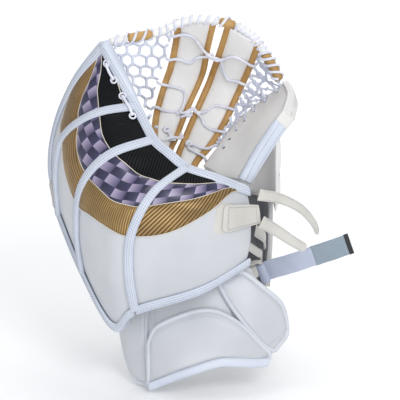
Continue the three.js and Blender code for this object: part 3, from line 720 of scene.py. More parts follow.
tape = leather("binding tape", (0.61, 0.655, 0.745), (0.55, 0.595, 0.69), 0.42, scale=1.6, depth=0.25)
thread = leather("sewing thread", (0.62, 0.64, 0.70), (0.50, 0.52, 0.60), 0.7, scale=6)
dark_thread = leather("grey thread", (0.34, 0.36, 0.42), (0.26, 0.28, 0.34), 0.7, scale=6)


def rib(name, u, node, body):
    """Leather tape over a padded cord along a seam, with four rows of stitches."""
    s, t = np.meshgrid(np.linspace(-1, 1, 17), np.linspace(0.004, 0.996, 110), indexing="ij")
    v = 4 * t
    flat = np.ones_like(v)
    half_width = 0.0052
    across = shell.along_u(u * flat, v) * (half_width * np.sin(s * math.pi / 2))[..., None]
    outer = shell.lifted(u * flat, v, 0.0012 + 0.0034 * np.cos(s * math.pi / 2) ** 0.5) + across
    inner = shell.lifted(u * flat, v, -0.0010 * flat) + across
    made = slab(name, outer, inner, tape)
    placed(made, body, "pale_binding", node)
    rows = []
    v = np.linspace(0.03, 3.97, 160)
    for side, high in ((-0.0036, 0.0040), (-0.0013, 0.0046), (0.0013, 0.0046), (0.0036, 0.0040)):
        rows.append(shell.lifted(u + 0 * v, v, high + 0 * v) + shell.along_u(u + 0 * v, v) * side)
    sewn = stitches(name + "_thread", rows, dark_thread)
    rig.ride(sewn, body)


rib("rib_upper", 1, "thumb_rib_upper", "thumb")
rib("rib_lower", 2, "thumb_rib_lower", "thumb")
rib("rib_fold", FOLD, "fold_rib", "palm")

# Thin piping runs along the inlays' edges.
piping = leather("pale piping", (0.74, 0.68, 0.58), (0.62, 0.56, 0.46), 0.5, scale=4)
for body, runs in (("thumb", ((0.06, 0.975), (1.025, 1.975), (2.025, 3.975))), ("palm", ((4.02, 5.86),))):
    paths = []
    for k in (1, 2, 3):
        for u0, u1 in runs:
            u = np.linspace(u0, u1, int(70 * (u1 - u0)) + 10)
            v = band_end(k, u)
            paths.append(shell.lifted(u, v, puffed(u, v) + 0.0011))
    if body == "thumb":
        u = np.linspace(0.36, 0.96, 40)
        paths.append(shell.lifted(u, 0.03 + 0.37 * (u - 0.35), 0.0028 + 0 * u))
    made = cord("inlay_piping_" + body, paths, 0.0005, piping, 6)
    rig.ride(made, body)

# Each edge binding wraps from the outer face round to the inside.
WRAP = [(-0.0060, 0.0004), (-0.0058, 0.0020), (-0.0040, 0.0032), (0.0000, 0.0036), (0.0036, 0.0030),
        (0.0056, 0.0010),
        (0.0062, -0.0030), (0.0062, -0.0120), (0.0054, -0.0155), (0.0030, -0.0175), (-0.0020, -0.0180),
        (-0.0050, -0.0176), (-0.0050, -0.0150), (0.0000, -0.0140), (0.0008, -0.0020), (-0.0020, -0.0006)]


def wrapped(name, place, steps, material, profile=WRAP):
    """Sweeps a closed profile: place(t, a, b) is the point a past the edge and b above the face."""
    count = len(profile)
    points = [place(k / steps, a, b) for k in range(steps + 1) for a, b in profile]
    faces = []
    for k in range(steps):
        for i in range(count):
            j = (i + 1) % count
            faces.append((k * count + i, k * count + j, (k + 1) * count + j, (k + 1) * count + i))
    faces.append(tuple(range(count))[::-1])
    faces.append(tuple(range(steps * count, (steps + 1) * count)))
    return facing_out(mesh_object(name, points, faces, material))


def shell_edge(u0, u1, v, side):
    """A binding's path along the rim or the bottom; at the fold its back is eased off the heel."""
    def place(t, a, b):
        u = u0 + (u1 - u0) * t
        depth = b if b > 0 else b * deep(u) / BOARD
        relief = max(0.0, -depth) * 0.45 * max(0.0, 1 - (1 - t) / 0.03) if u1 < FOLD else 0.0
        return (shell(u, v) + shell.along_v(u, v) * side * a + shell.normal(u, v) * depth
                - shell.along_u(u, v) * relief)
    return place


def side_edge(t, a, b):
    v = 0.04 + 3.92 * t
    return shell(0, v) - shell.along_u(0, v) * a + shell.normal(0, v) * (b if b > 0 else b * 0.5)


for name, place, node, body in (
    ("rim_tape_thumb", shell_edge(-0.02, 3.98, 0, -1), "thumb_rim_binding", "thumb"),
    ("rim_tape_heel", shell_edge(4.02, 6.02, 0, -1), "heel_rim_binding", "palm"),
    ("bottom_tape_thumb", shell_edge(0.0, 3.98, 4, 1), "thumb_bottom_binding", "thumb"),
    ("bottom_tape_heel", shell_edge(4.02, 6.02, 4, 1), "heel_bottom_binding", "palm"),
    ("side_tape", side_edge, "thumb_side_binding", "thumb"),
):
    made = wrapped(name, place, 90, tape)
    placed(made, body, "pale_binding", node)
    rows = [[place(k / 150, a, 0.0037 - 40 * (a + 0.0005) ** 2) for k in range(151)]
            for a in (-0.0040, -0.0012, 0.0016)]
    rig.ride(stitches(name + "_thread", rows, dark_thread), body)

# Two short laces cross the rim, each between a pair of white ring eyelets.
lace_material = leather("waxed lace", (0.80, 0.81, 0.88), (0.66, 0.68, 0.78), 0.5, scale=5, depth=0.5)
for name, a, b in (("rim_lace_upper", (0.24, 0.10), (0.50, 0.15)),
                   ("rim_lace_lower", (0.78, 0.17), (1.22, 0.19))):
    k = np.linspace(0, 1, 24)
    line = shell.lifted(a[0] + (b[0] - a[0]) * k, a[1] + (b[1] - a[1]) * k,
                        0.0040 + 0.0022 * np.sin(math.pi * k))
    made = cord(name + "_cord", [line], 0.0016, lace_material)
    rings = []
    for u, v in (a, b):
        centre, n = shell.lifted(u, v, 0.0032), shell.normal(u, v)
        x = shell.along_u(u, v)
        y = np.cross(n, x)
        rings.append([centre + 0.0033 * (x * math.cos(q) + y * math.sin(q))
                      for q in np.linspace(0, 2 * math.pi, 25)[:-1]])
    eyelets = cord(name + "_eyelets", rings, 0.0011, lace_material, 8, closed=True)
    placed(made, "thumb", "lace", name)
    placed(eyelets, "thumb", "lace")

# ---------------------------------------------------------------- the double-T pocket
# Two leather straps hang from the top roll down to the palm. Each has a tan edge folded over both
# sides, and they meet down the middle.
# This cream is painted lighter than the finger board's cream leather to make up for the shade deep in the pocket: a
# painted-light copy of the same leather.
cream = leather("cream leather", (0.82, 0.81, 0.795), (0.76, 0.75, 0.73), 0.5, scale=1.3, depth=0.4)
tan = leather("tan edge leather", (0.52, 0.30, 0.10), (0.38, 0.20, 0.055), 0.42, scale=2.4, depth=0.5)
strap_left = Sheet([
    [(-28, 62, 411), (-32, 80, 382), (-37, 90, 356), (-44, 92, 334), (-52, 82, 308), (-55, 58, 294),
     (-54, 26, 280), (-44, 14, 248)],
    [(18, 66, 408), (12, 86, 376), (8, 96, 350), (2, 99, 332), (-11, 93, 304), (-23, 70, 278),
     (-32, 34, 263), (-26, 16, 234)],
])
strap_right = Sheet([
    [(26, 66, 403), (19, 86, 374), (12, 97, 350), (6, 100, 332), (-7, 94, 303), (-20, 71, 277),
     (-29, 35, 261), (-23, 17, 232)],
    [(67, 62, 381), (60, 80, 355), (52, 90, 333), (45, 92, 316), (31, 80, 288), (15, 58, 268),
     (-3, 26, 254), (0, 14, 232)],
])
side_of = {}
for strap in (strap_left, strap_right):
    inward = at(-8, 0, 310) - strap(0.5, 3.0)
    side_of[strap] = 1.0 if np.dot(strap.normal(0.5, 3.0), inward) > 0 else -1.0


def strap_strip(name, strap, a, b, high, low, crown, material, nu):
    """A strip between two distances in from the strap's left edge, given as functions of its width."""
    s, t = grid(nu, 120)
    v = -0.28 + 7.2 * t
    width = np.linalg.norm(strap(np.ones_like(v), v) - strap(np.zeros_like(v), v), axis=-1)
    u = (a(width) + (b(width) - a(width)) * s) / width
    k = side_of[strap]
    outer = strap.lifted(u, v, k * (high * round_edge(s, t, 6) + crown * np.sin(math.pi * s)))
    inner = strap.lifted(u, v, k * (low * round_edge(s, t, 6)))
    return slab(name, outer, inner, material, lengths(outer))


tan_rows = []
for label, strap in (("left", strap_left), ("right", strap_right)):
    node = "pocket_strap_" + label
    for part, its_node, slot, a, b, thick, crown, material, nu in (
        ("_face", "", "cream_leather", lambda w: 0.0062 + 0 * w, lambda w: w - 0.0062, 0.0022, 0.0012,
         cream, 15),
        ("_fold_a", "_edge_a", "tan_edge", lambda w: 0.0001 + 0 * w, lambda w: 0.0080 + 0 * w, 0.0027,
         0.0009, tan, 9),
        ("_fold_b", "_edge_b", "tan_edge", lambda w: w - 0.0080, lambda w: w - 0.0001, 0.0027, 0.0009, tan,
         9),
    ):
        made = strap_strip(node + part, strap, a, b, thick, -thick, crown, material, nu)
        placed(made, "palm", slot, node + its_node)
    v = np.linspace(0.1, 6.9, 220)
    width = np.linalg.norm(strap(1 + 0 * v, v) - strap(0 * v, v), axis=-1)
    for inset in (0.0068, width - 0.0068):
        tan_rows.append(strap.lifted(inset / width, v, side_of[strap] * (0.0036 + 0 * v)))
tan_thread = leather("tan thread", (0.42, 0.25, 0.09), (0.30, 0.17, 0.05), 0.7, scale=6)
strap_sewing = stitches("pocket_strap_thread", tan_rows, tan_thread, 0.0032, 0.0011, 0.0003)
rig.ride(strap_sewing, "palm")

# Lacing: waxed round laces lie slack over both straps and hook into each other at the seam.


def through(points, count):
    """A smooth path through points."""
    c = np.array([np.asarray(p, float) for p in points])
    c = np.concatenate([[2 * c[0] - c[1]], c, [2 * c[-1] - c[-2]]])
    t = np.linspace(0, len(c) - 3, count)
    i = np.minimum(t.astype(int), len(c) - 4)
    return blended(c, i, (t - i)[:, None])


def on_strap(strap, v, across, high):
    """A point above a strap's outer face."""
    return strap.lifted(np.float64(across), np.float64(v), np.float64(side_of[strap] * high))


def strap_lace(stops, high=0.0048):
    """Each stop is a strap, the places along and across it, and a height (0: the usual one)."""
    points = [on_strap(strap_left if s == "L" else strap_right, v, a, h if h else high)
              for s, v, a, h in stops]
    return through(points, 12 * len(stops))


pocket_laces = [
    strap_lace([("L", 0.42, -0.07, -0.004), ("L", 0.40, -0.03, 0), ("L", 0.28, 0.24, 0),
                ("L", 0.43, 0.52, 0), ("L", 0.88, 0.80, 0.007), ("L", 1.10, 1.0, 0.009),
                ("R", 1.16, 0.08, 0.009), ("R", 1.07, 0.20, 0.007), ("R", 0.73, 0.44, 0),
                ("R", 0.68, 0.66, 0), ("R", 0.70, 0.98, 0), ("R", 0.72, 1.06, -0.004)]),
    strap_lace([("L", 1.60, -0.09, -0.004), ("L", 1.58, -0.04, 0), ("L", 1.50, 0.20, 0),
                ("L", 1.62, 0.52, 0), ("L", 1.33, 0.68, 0), ("L", 1.20, 0.92, 0.006),
                ("R", 1.05, 0.00, 0.010), ("R", 1.16, 0.20, 0.006), ("R", 1.62, 0.32, 0),
                ("R", 2.00, 0.52, 0), ("R", 1.88, 0.76, 0), ("R", 1.85, 1.02, 0),
                ("R", 1.85, 1.08, -0.004)]),
    strap_lace([("L", 2.95, -0.10, -0.004), ("L", 2.98, -0.04, 0), ("L", 3.10, 0.26, 0),
                ("L", 3.25, 0.56, 0), ("L", 3.55, 0.70, 0), ("L", 3.95, 0.74, 0), ("L", 4.20, 0.70, 0.007),
                ("L", 4.30, 0.66, 0.003)]),
    strap_lace([("L", 4.00, -0.08, -0.004), ("L", 4.03, 0.0, 0), ("L", 4.20, 0.30, 0), ("L", 4.20, 0.58, 0),
                ("L", 4.20, 0.84, 0.006), ("L", 4.04, 1.0, 0.009), ("R", 4.10, 0.12, 0.008),
                ("R", 3.93, 0.34, 0), ("R", 3.60, 0.48, 0), ("R", 3.50, 0.74, 0), ("R", 3.45, 1.0, 0),
                ("R", 3.45, 1.07, -0.004)]),
    strap_lace([("L", 4.36, 0.80, 0.003), ("L", 4.26, 0.93, 0.007), ("R", 4.04, 0.02, 0.011),
                ("R", 4.12, 0.17, 0.008), ("R", 4.20, 0.32, 0.006), ("R", 4.38, 0.46, 0),
                ("R", 4.45, 0.66, 0), ("R", 4.40, 0.90, 0),
                ("R", 4.33, 1.12, 0), ("R", 4.31, 1.24, 0.002)]),
    strap_lace([("R", 5.20, 0.34, 0.003), ("R", 5.28, 0.48, 0), ("R", 5.30, 0.70, 0), ("R", 5.23, 0.94, 0),
                ("R", 4.98, 1.06, 0.004), ("R", 4.9, 1.2, 0.002)]),
    strap_lace([("R", 5.40, 0.34, 0.003), ("R", 5.53, 0.44, 0.006), ("R", 5.55, 0.72, 0),
                ("R", 5.60, 1.02, 0), ("R", 5.56, 1.14, -0.003)]),
    strap_lace([("L", 5.10, 0.44, 0.002), ("L", 5.20, 0.52, 0.006), ("L", 5.34, 0.72, 0.007),
                ("L", 5.25, 0.94, 0.007), ("L", 4.96, 0.98, 0.003)]),
    strap_lace([("L", 5.62, 0.40, 0.003), ("L", 5.50, 0.66, 0.010), ("L", 5.30, 0.98, 0.009),
                ("L", 5.05, 1.04, 0.004)]),
]
laces = cord("pocket_laces", pocket_laces, 0.0017, lace_material, 10)
placed(laces, "palm", "lace", "pocket_lacing")
knots = []
for s, v, a in (("L", 4.24, 0.97), ("L", 1.12, 0.98), ("R", 5.35, 0.36), ("L", 5.12, 0.46),
                ("L", 5.42, 0.72)):
    strap = strap_left if s == "L" else strap_right
    centre = on_strap(strap, v, a, 0.0066)
    x, y = strap.along_u(a, v), strap.along_v(a, v)
    q = np.linspace(0, 2 * math.pi, 29)[:-1]
    ring = centre + np.outer(np.cos(q), x) * 0.0036 + np.outer(np.sin(q), y) * 0.0026
    knots.append(ring + np.outer(np.sin(2 * q), strap.normal(a, v)) * 0.0014)
knot_piece = cord("pocket_knots", knots, 0.0017, lace_material, 8, closed=True)
placed(knot_piece, "palm", "lace")

# ---------------------------------------------------------------- top roll
# A padded cord bound with lace carries the pocket's upper edge; gold tape wraps it in three places.
roll_points = [at(*p) for p in ((-113, 20, 399), (-80, 37, 402), (-45, 50, 406), (-25, 56, 414),
                                (-3, 60, 418), (20, 63, 415),
                                (43, 64, 408), (64, 62, 392), (75, 60, 375), (84, 58, 361), (90, 54, 347))]
ROLL_STEPS = 1000
roll_path = through(roll_points, ROLL_STEPS + 1)
along = np.gradient(roll_path, axis=0)
along /= np.linalg.norm(along, axis=1, keepdims=True)
roll_up = np.array([0, 0, 1.0]) - along * along[:, 2:3]
roll_up /= np.linalg.norm(roll_up, axis=1, keepdims=True)
roll_out = np.cross(roll_up, along)
roll_length = np.concatenate([[0], np.cumsum(np.linalg.norm(np.diff(roll_path, axis=0), axis=1))])


def roll_span(t0, t1):
    """The roll's samples between two places: it runs from 0 at the thumb to 10 at the fingers."""
    return slice(int(t0 / 10 * ROLL_STEPS), int(t1 / 10 * ROLL_STEPS) + 1)


def roll_helix(t0, t1, radius, pitch, phase=0.0, samples=4):
    """A lace wound round the roll between two places."""
    part = roll_span(t0, t1)
    k = np.arange(part.start, part.stop - 1, 1.0 / samples)
    i = k.astype(int)
    f = (k - i)[:, None]

    def mixed(values):
        return values[i] * (1 - f) + values[i + 1] * f

    turn = phase + mixed(roll_length[:, None]) * (2 * math.pi / pitch)
    return mixed(roll_path) + radius * (np.cos(turn) * mixed(roll_up) + np.sin(turn) * mixed(roll_out))


def roll_tube(name, t0, t1, radius, material, sides=20):
    """A round length of the roll with domed ends."""
    part = roll_span(t0, t1)
    centre, a, b = roll_path[part][::4], roll_up[part][::4], roll_out[part][::4]
    n = len(centre)
    q = np.linspace(0, 2 * math.pi, sides, endpoint=False)
    end = np.minimum(1, np.sin(np.linspace(0, math.pi, n)) * n / 7 + 0.35)
    grow = radius * end
    turned = np.cos(q)[None, :, None] * a[:, None] + np.sin(q)[None, :, None] * b[:, None]
    rings = centre[:, None] + grow[:, None, None] * turned
    points = rings.reshape(-1, 3)
    faces = [(k * sides + i, k * sides + (i + 1) % sides, (k + 1) * sides + (i + 1) % sides,
              (k + 1) * sides + i)
             for k in range(n - 1) for i in range(sides)]
    faces += [tuple(range(sides))[::-1], tuple(range((n - 1) * sides, n * sides))]
    return facing_out(mesh_object(name, points, faces, material))


def follow_thumb(piece):
    """Soft pieces between the straps and the thumb's tip bend as the thumb folds."""
    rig.blend(piece, "palm", "thumb", at(-48, 60, 355), at(-92, 20, 372))


gold_tape = leather("gold wrap leather", (0.50, 0.30, 0.10), (0.36, 0.20, 0.06), 0.4, scale=2.2, depth=0.6)
for label, t0, t1, radius, node, slot, material in (
    ("roll_thumb", 0.35, 0.99, 0.0046, "top_roll_thumb", "cream_leather", cream),
    ("wrap_thumb", 0.97, 1.74, 0.0052, "top_wrap_thumb", "tan_edge", gold_tape),
    ("roll_middle", 1.70, 5.12, 0.0046, "top_roll_middle", "cream_leather", cream),
    ("wrap_middle", 5.08, 5.84, 0.0052, "top_wrap_middle", "tan_edge", gold_tape),
    ("roll_finger", 5.80, 7.84, 0.0046, "top_roll_finger", "cream_leather", cream),
    ("wrap_finger", 7.80, 9.92, 0.0052, "top_wrap_finger", "tan_edge", gold_tape),
):
    made = roll_tube(label, t0, t1, radius, material)
    if "thumb" in label:
        follow_thumb(made)
    else:
        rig.ride(made, "palm")
    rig.replaces(made, node)
    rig.slot(made, slot)
turns = [roll_helix(0.45, 1.70, 0.0060, 0.024, phase) for phase in (0.0, math.pi)]
thumb_winding = cord("roll_winding_thumb", turns, 0.0015, lace_material)
follow_thumb(thumb_winding)
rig.slot(thumb_winding, "lace")
winding = cord("roll_winding", [
    roll_helix(1.72, 5.1, 0.0049, 0.0095), roll_helix(5.1, 5.85, 0.0066, 0.022),
    roll_helix(5.85, 7.8, 0.0050, 0.0062),
    roll_helix(7.8, 9.8, 0.0066, 0.017), roll_helix(7.8, 9.8, 0.0066, 0.017, math.pi),
], 0.0016, lace_material)
placed(winding, "palm", "lace")

# ---------------------------------------------------------------- the net beside the thumb
# Twisted laces knotted in six-sided cells, hung between the rim, the top roll and the left strap.
net = Sheet([
    [(-92, 20, 390), (-80, 9, 364), (-61, -4, 334), (-46, -18, 312)],
    [(-66, 44, 388), (-65, 50, 362), (-61, 46, 330), (-58, 28, 308)],
    [(-34, 60, 396), (-42, 80, 362), (-52, 82, 330), (-60, 62, 306)],
])


def twisted(a, b, turns=2.0, radius=0.0009, count=12):
    """Two strands wound round each other from a to b."""
    k = np.linspace(0, 1, count)[:, None]
    line = a + (b - a) * k
    along = (b - a) / np.linalg.norm(b - a)
    x = np.cross(along, (0, 1, 0.2))
    x /= np.linalg.norm(x)
    y = np.cross(along, x)
    out = []
    for phase in (0, math.pi):
        q = phase + k * 2 * math.pi * turns
        out.append(line + radius * (np.cos(q) * x + np.sin(q) * y))
    return out


CELL = 0.0078
u, v = np.meshgrid(np.linspace(0, 2, 90), np.linspace(-0.35, 3, 220), indexing="ij")
net_grid = net(u, v).reshape(-1, 3)
net_front = np.stack([net_grid[:, 0], 0.31 * net_grid[:, 1] + 0.95 * net_grid[:, 2]], -1)


def net_place(x, h):
    """The net's point at x and height h as the front sees it, where its cells are even."""
    return net_grid[np.argmin(((net_front - (x, h)) ** 2).sum(-1))]


def inside_net(x, h):
    """Whether the net has a point seen at this place."""
    return ((net_front - (x, h)) ** 2).sum(-1).min() < 0.0009 ** 2


net_strands, net_knots = [], []
rng = np.random.default_rng(7)
nudge = {}


def lattice(i, j, side):
    """Corners of six-sided cells: column i, row j, upper (0) or lower (1) end of the upright strand."""
    if (i, j, side) not in nudge:
        nudge[i, j, side] = rng.uniform(-0.0009, 0.0009, 2)
    x = CELL * math.sqrt(3) * (i + 0.5 * (j % 2)) - 0.096
    h = 0.276 - CELL * 1.5 * j - (CELL if side else 0)
    return np.array([x, h]) + nudge[i, j, side]


for j in range(-1, 12):
    for i in range(-2, 9):
        top, low = lattice(i, j, 0), lattice(i, j, 1)
        shift = j % 2
        for a, b in ((top, low), (low, lattice(i + shift, j + 1, 0)),
                     (low, lattice(i + shift - 1, j + 1, 0))):
            kept = [k for k in np.linspace(0, 1, 9) if inside_net(*(a + (b - a) * k))]
            if len(kept) < 3:
                continue
            ends = [net_place(*(a + (b - a) * k)) for k in (kept[0], kept[-1])]
            net_strands += twisted(ends[0], ends[1], 1.5 * (kept[-1] - kept[0]) + 0.3)
        for p in (top, low):
            if inside_net(*p):
                net_knots.append(net_place(*p))


def knot_rings(centres, radius):
    """Small overhand knots: a tight ring tilted differently on each crossing."""
    rings = []
    for centre in centres:
        tilt_a, tilt_b = rng.uniform(-0.9, 0.9, 2)
        q = np.linspace(0, 2 * math.pi, 13)[:-1]
        x = np.array([math.cos(tilt_a), math.sin(tilt_a) * 0.4, math.sin(tilt_a)])
        z = np.array([-math.sin(tilt_b), 0.5, math.cos(tilt_b)])
        rings.append(centre + radius * (np.outer(np.cos(q), x) + np.outer(np.sin(q), z)))
    return rings


net_lace = leather("net lace", (0.74, 0.77, 0.87), (0.58, 0.61, 0.72), 0.5, scale=5, depth=0.6)
strands = cord("net_strands", net_strands, 0.00098, net_lace, 7)
follow_thumb(strands)
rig.replaces(strands, "thumb_net")
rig.slot(strands, "lace")
tied = cord("net_knots", knot_rings(net_knots, 0.0012), 0.0011, net_lace, 6, closed=True)
follow_thumb(tied)
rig.slot(tied, "lace")

# ---------------------------------------------------------------- finger board
# A stiff board under cream leather, a pale band folded round its front edge, and seven punched
# holes that take the lacing from the right strap.
finger_face = Sheet([
    [(46, -22, 255), (25, 0, 252), (10, 18, 255)],
    [(60, -16, 280), (42, 22, 274), (24, 48, 276)],
    [(78, -8, 307), (66, 30, 304), (51, 68, 303)],
    [(94, 2, 326), (99, 38, 334), (94, 70, 339)],
])
away = 1.0 if np.dot(finger_face.normal(1.5, 1.0), finger_face(1.5, 1.0) - at(-8, 0, 310)) > 0 else -1.0
s, t = grid(60, 40)
u = 3.12 * s
v = (2.06 + 0.34 * np.clip(1 - u / 0.8, 0, 1)) * t
soft = round_edge(s, t, 8)
outer = finger_face.lifted(u, v, away * (-0.0004 - 0.0012 * soft - 0.0012 * round_edge(s, t, 2)))
inner = finger_face.lifted(u, v, away * (0.0090 + 0.003 * soft))
board_cream = leather("finger board leather", (0.74, 0.73, 0.715), (0.67, 0.66, 0.645), 0.5, scale=1.3,
                      depth=0.4)
board_piece = slab("finger_board_face", outer, inner, board_cream, lengths(outer))
placed(board_piece, "palm", "cream_leather", "finger_board")


def finger_edge(t, a, b):
    """Runs up the front edge, round the tip and back along the end."""
    k = t * 1.5
    if k < 1:
        u, v = 3.05 * k, 0.0
        out = -finger_face.along_v(min(u, 3.0), 0.0)
    else:
        u, v = 3.05, 2 * (k - 1) * 2
        turn = min(1, (k - 1) * 8)
        out = -finger_face.along_v(3.0, v) * (1 - turn) + finger_face.along_u(3.0, v) * turn
        out /= np.linalg.norm(out)
    reach = 0.8 - 0.45 * np.clip((k - 0.6) / 0.4, 0, 1)
    return finger_face(u, v) + out * a * reach - finger_face.normal(min(u, 3.0), v) * away * b


EDGE_WRAP = [(-0.0045, 0.0008), (-0.0040, 0.0024), (-0.0010, 0.0034), (0.0030, 0.0022), (0.0058, -0.0010),
             (0.0066, -0.0060),
             (0.0060, -0.0110), (0.0036, -0.0136), (-0.0010, -0.0146), (-0.0040, -0.0138),
             (-0.0040, -0.0112), (0.0000, -0.0100),
             (0.0006, -0.0010), (-0.0020, 0.0004)]
edge_band = wrapped("finger_edge_tape", lambda t, a, b: finger_edge(0.56 * t, a, b), 90, tape, EDGE_WRAP)
placed(edge_band, "palm", "pale_binding", "finger_edge_band")
tip_band = wrapped("finger_tip_fold", lambda t, a, b: finger_edge(0.55 + 0.45 * t, a, b), 60, board_cream,
                   EDGE_WRAP)
placed(tip_band, "palm", "cream_leather")
rows = [[finger_edge(k / 170, -0.0028, 0.0034) for k in range(171)],
        [finger_edge(k / 130 * 0.54, 0.0064, -0.0020) for k in range(131)],
        [finger_edge(k / 130 * 0.54, 0.0064, -0.0100) for k in range(131)]]
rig.ride(stitches("finger_edge_thread", rows, dark_thread), "palm")

# The holes are not cut: a near-black disc sunk into the board stands for each one, painted shade where the hole looks
# dark.
punched = leather("punched hole", (0.012, 0.012, 0.014), (0.006, 0.006, 0.007), 0.8)
hole_rings, hole_shade_discs, hole_centres = [], [], []
for i in range(7):
    u, v = 0.9 + 1.95 * i / 6, 1.66
    n = -away * finger_face.normal(u, v)
    x = finger_face.along_u(u, v)
    y = np.cross(n, x)
    centre = finger_face(u, v) + n * 0.0026
    hole_centres.append(centre)
    q = np.linspace(0, 2 * math.pi, 17)[:-1]
    hole_rings.append(centre - n * 0.0004 + 0.0021 * (np.outer(np.cos(q), x) + np.outer(np.sin(q), y)))
    hole_shade_discs.append([centre - n * 0.003, centre + n * 0.0001])
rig.ride(cord("finger_hole_rims", hole_rings, 0.0006, cream, 8, closed=True), "palm")
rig.ride(cord("finger_hole_darks", hole_shade_discs, 0.0019, punched, 14), "palm")

# Lacing fills the gap to the right strap: doubled laces meet in knots half-way across.
lace_gap = Sheet([
    [(66, 63, 386), (60, 82, 354), (51, 91, 330), (43, 91, 314), (30, 79, 288), (16, 58, 269)],
    [(80, 62, 370), (74, 78, 346), (63, 84, 325), (51, 84, 308), (34, 72, 285), (20, 55, 272)],
    [(90, 60, 350), (90, 70, 336), (76, 69, 325), (62, 69, 313), (40, 61, 293), (24, 49, 277)],
])
lacing, lacing_knots = [], []
for k in range(11):
    v = 0.15 + 0.46 * k
    middle = lace_gap(1.0 + 0.10 * (-1) ** k, v)
    lacing_knots.append(middle)
    ahead = lace_gap(1.0 - 0.10 * (-1) ** k, v + 0.46)
    if k < 10:
        lacing += twisted(middle, ahead, 1.4)
    lacing += twisted(lace_gap(-0.12, v - 0.16), middle, 1.6)
    if k % 2 == 0:
        lacing += twisted(lace_gap(-0.12, v + 0.24), middle, 1.6)
    goal = hole_centres[max(0, min(6, round(6 - (v - 1.2) / 0.62)))] if v > 1.0 else lace_gap(2.05, v + 0.1)
    lacing += twisted(middle, goal, 1.4)
    lacing_knots += [lace_gap(0.5, v + 0.05), lace_gap(1.5, v)]
    crossing = [(0.1, -0.2), (0.5, 0.05), (1.0, 0.12), (1.5, 0.0), (1.98, -0.15)]
    lacing.append(through([lace_gap(across, v + down) for across, down in crossing], 20))
lacing_piece = cord("finger_lacing_strands", lacing, 0.00105, net_lace, 7)
placed(lacing_piece, "palm", "lace", "finger_lacing")
lacing_ties = cord("finger_lacing_knots", knot_rings(lacing_knots, 0.0013), 0.0012, net_lace, 6,
                   closed=True)
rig.ride(lacing_ties, "palm")

# ---------------------------------------------------------------- covers over the back of the hand
# Quilted pads of grey-white leather over foam: behind the fingers, over the back of the hand and
# over the thumb. A stretch panel joins the thumb's cover to the hand's.
grey_cover = leather("grey cover leather", (0.84, 0.835, 0.83), (0.77, 0.765, 0.76), 0.55, scale=1.2,
                     depth=0.6)
dark_stretch = leather("dark stretch cloth", (0.045, 0.047, 0.052), (0.025, 0.026, 0.03), 0.85, scale=5,
                       depth=0.8)
lining = leather("grey lining", (0.16, 0.165, 0.175), (0.12, 0.125, 0.135), 0.9, scale=4, depth=0.8)


def pad(name, surface, wide, tall, thick, seams_u, seams_v, crown, material, out_from):
    """A quilted pad whose back lies on the surface and whose face puffs up between its seams."""
    s, t = grid(90, 70)
    u, v = wide * s, tall * t
    middle = surface(wide / 2, tall / 2)
    away = 1.0 if np.dot(surface.normal(wide / 2, tall / 2), middle - out_from) > 0 else -1.0

    def swell(x, seams):
        stops = np.array([0.0, *seams, 1.0])
        i = np.clip(np.searchsorted(stops, x, "right") - 1, 0, len(stops) - 2)
        f = (x - stops[i]) / (stops[i + 1] - stops[i])
        return np.abs(np.sin(math.pi * f)) ** 0.45

    puff = swell(s, seams_u) * swell(t, seams_v)
    edge = round_edge(s, t, 7)
    outer = surface.lifted(u, v, away * (thick * (0.45 + 0.40 * edge) + crown * puff))
    inner = surface.lifted(u, v, away * (thick * 0.45 - thick * 0.42 * edge))
    made = slab(name, outer, inner, material, lengths(outer))
    rows = []
    k = np.linspace(0.03, 0.97, 90)
    for x in seams_u:
        rows.append(surface.lifted(wide * x + 0 * k, tall * k, away * (thick * 0.87 + 0 * k)))
    for y in seams_v:
        rows.append(surface.lifted(wide * k, tall * y + 0 * k, away * (thick * 0.87 + 0 * k)))
    return made, rows


finger_back = Sheet([
    [(34, 92, 282), (34, 94, 245), (34, 92, 208)],
    [(54, 97, 286), (56, 99, 246), (56, 96, 208)],
    [(74, 86, 290), (77, 86, 247), (76, 86, 208)],
    [(82, 60, 290), (83, 58, 247), (82, 60, 208)],
    [(82, 34, 286), (82, 32, 247), (82, 36, 208)],
])
hand_back = Sheet([
    [(-46, 74, 203), (-47, 76, 150), (-44, 72, 96)],
    [(-12, 90, 203), (-12, 92, 150), (-10, 88, 90)],
    [(24, 98, 203), (24, 100, 150), (24, 95, 86)],
    [(58, 94, 203), (58, 94, 150), (57, 88, 90)],
    [(80, 72, 203), (80, 72, 150), (77, 66, 96)],
])
thumb_back = Sheet([
    [(-122, 38, 380), (-150, 58, 335), (-166, 68, 285), (-168, 70, 235), (-152, 66, 194)],
    [(-108, 48, 378), (-122, 68, 330), (-130, 82, 280), (-132, 86, 232), (-128, 78, 192)],
    [(-94, 54, 374), (-96, 70, 326), (-98, 82, 276), (-100, 86, 230), (-104, 78, 192)],
])
palm_front = Sheet([
    [(-46, -6, 212), (-46, -8, 168), (-42, -8, 126)],
    [(0, -16, 214), (0, -18, 168), (0, -18, 122)],
    [(48, -8, 214), (48, -10, 168), (44, -10, 126)],
])
gusset_surface = Sheet([
    [(-100, 66, 186), (-96, 62, 165), (-88, 56, 140)],
    [(-75, 70, 192), (-72, 67, 160), (-68, 62, 125)],
    [(-50, 70, 198), (-50, 70, 155), (-48, 66, 112)],
])
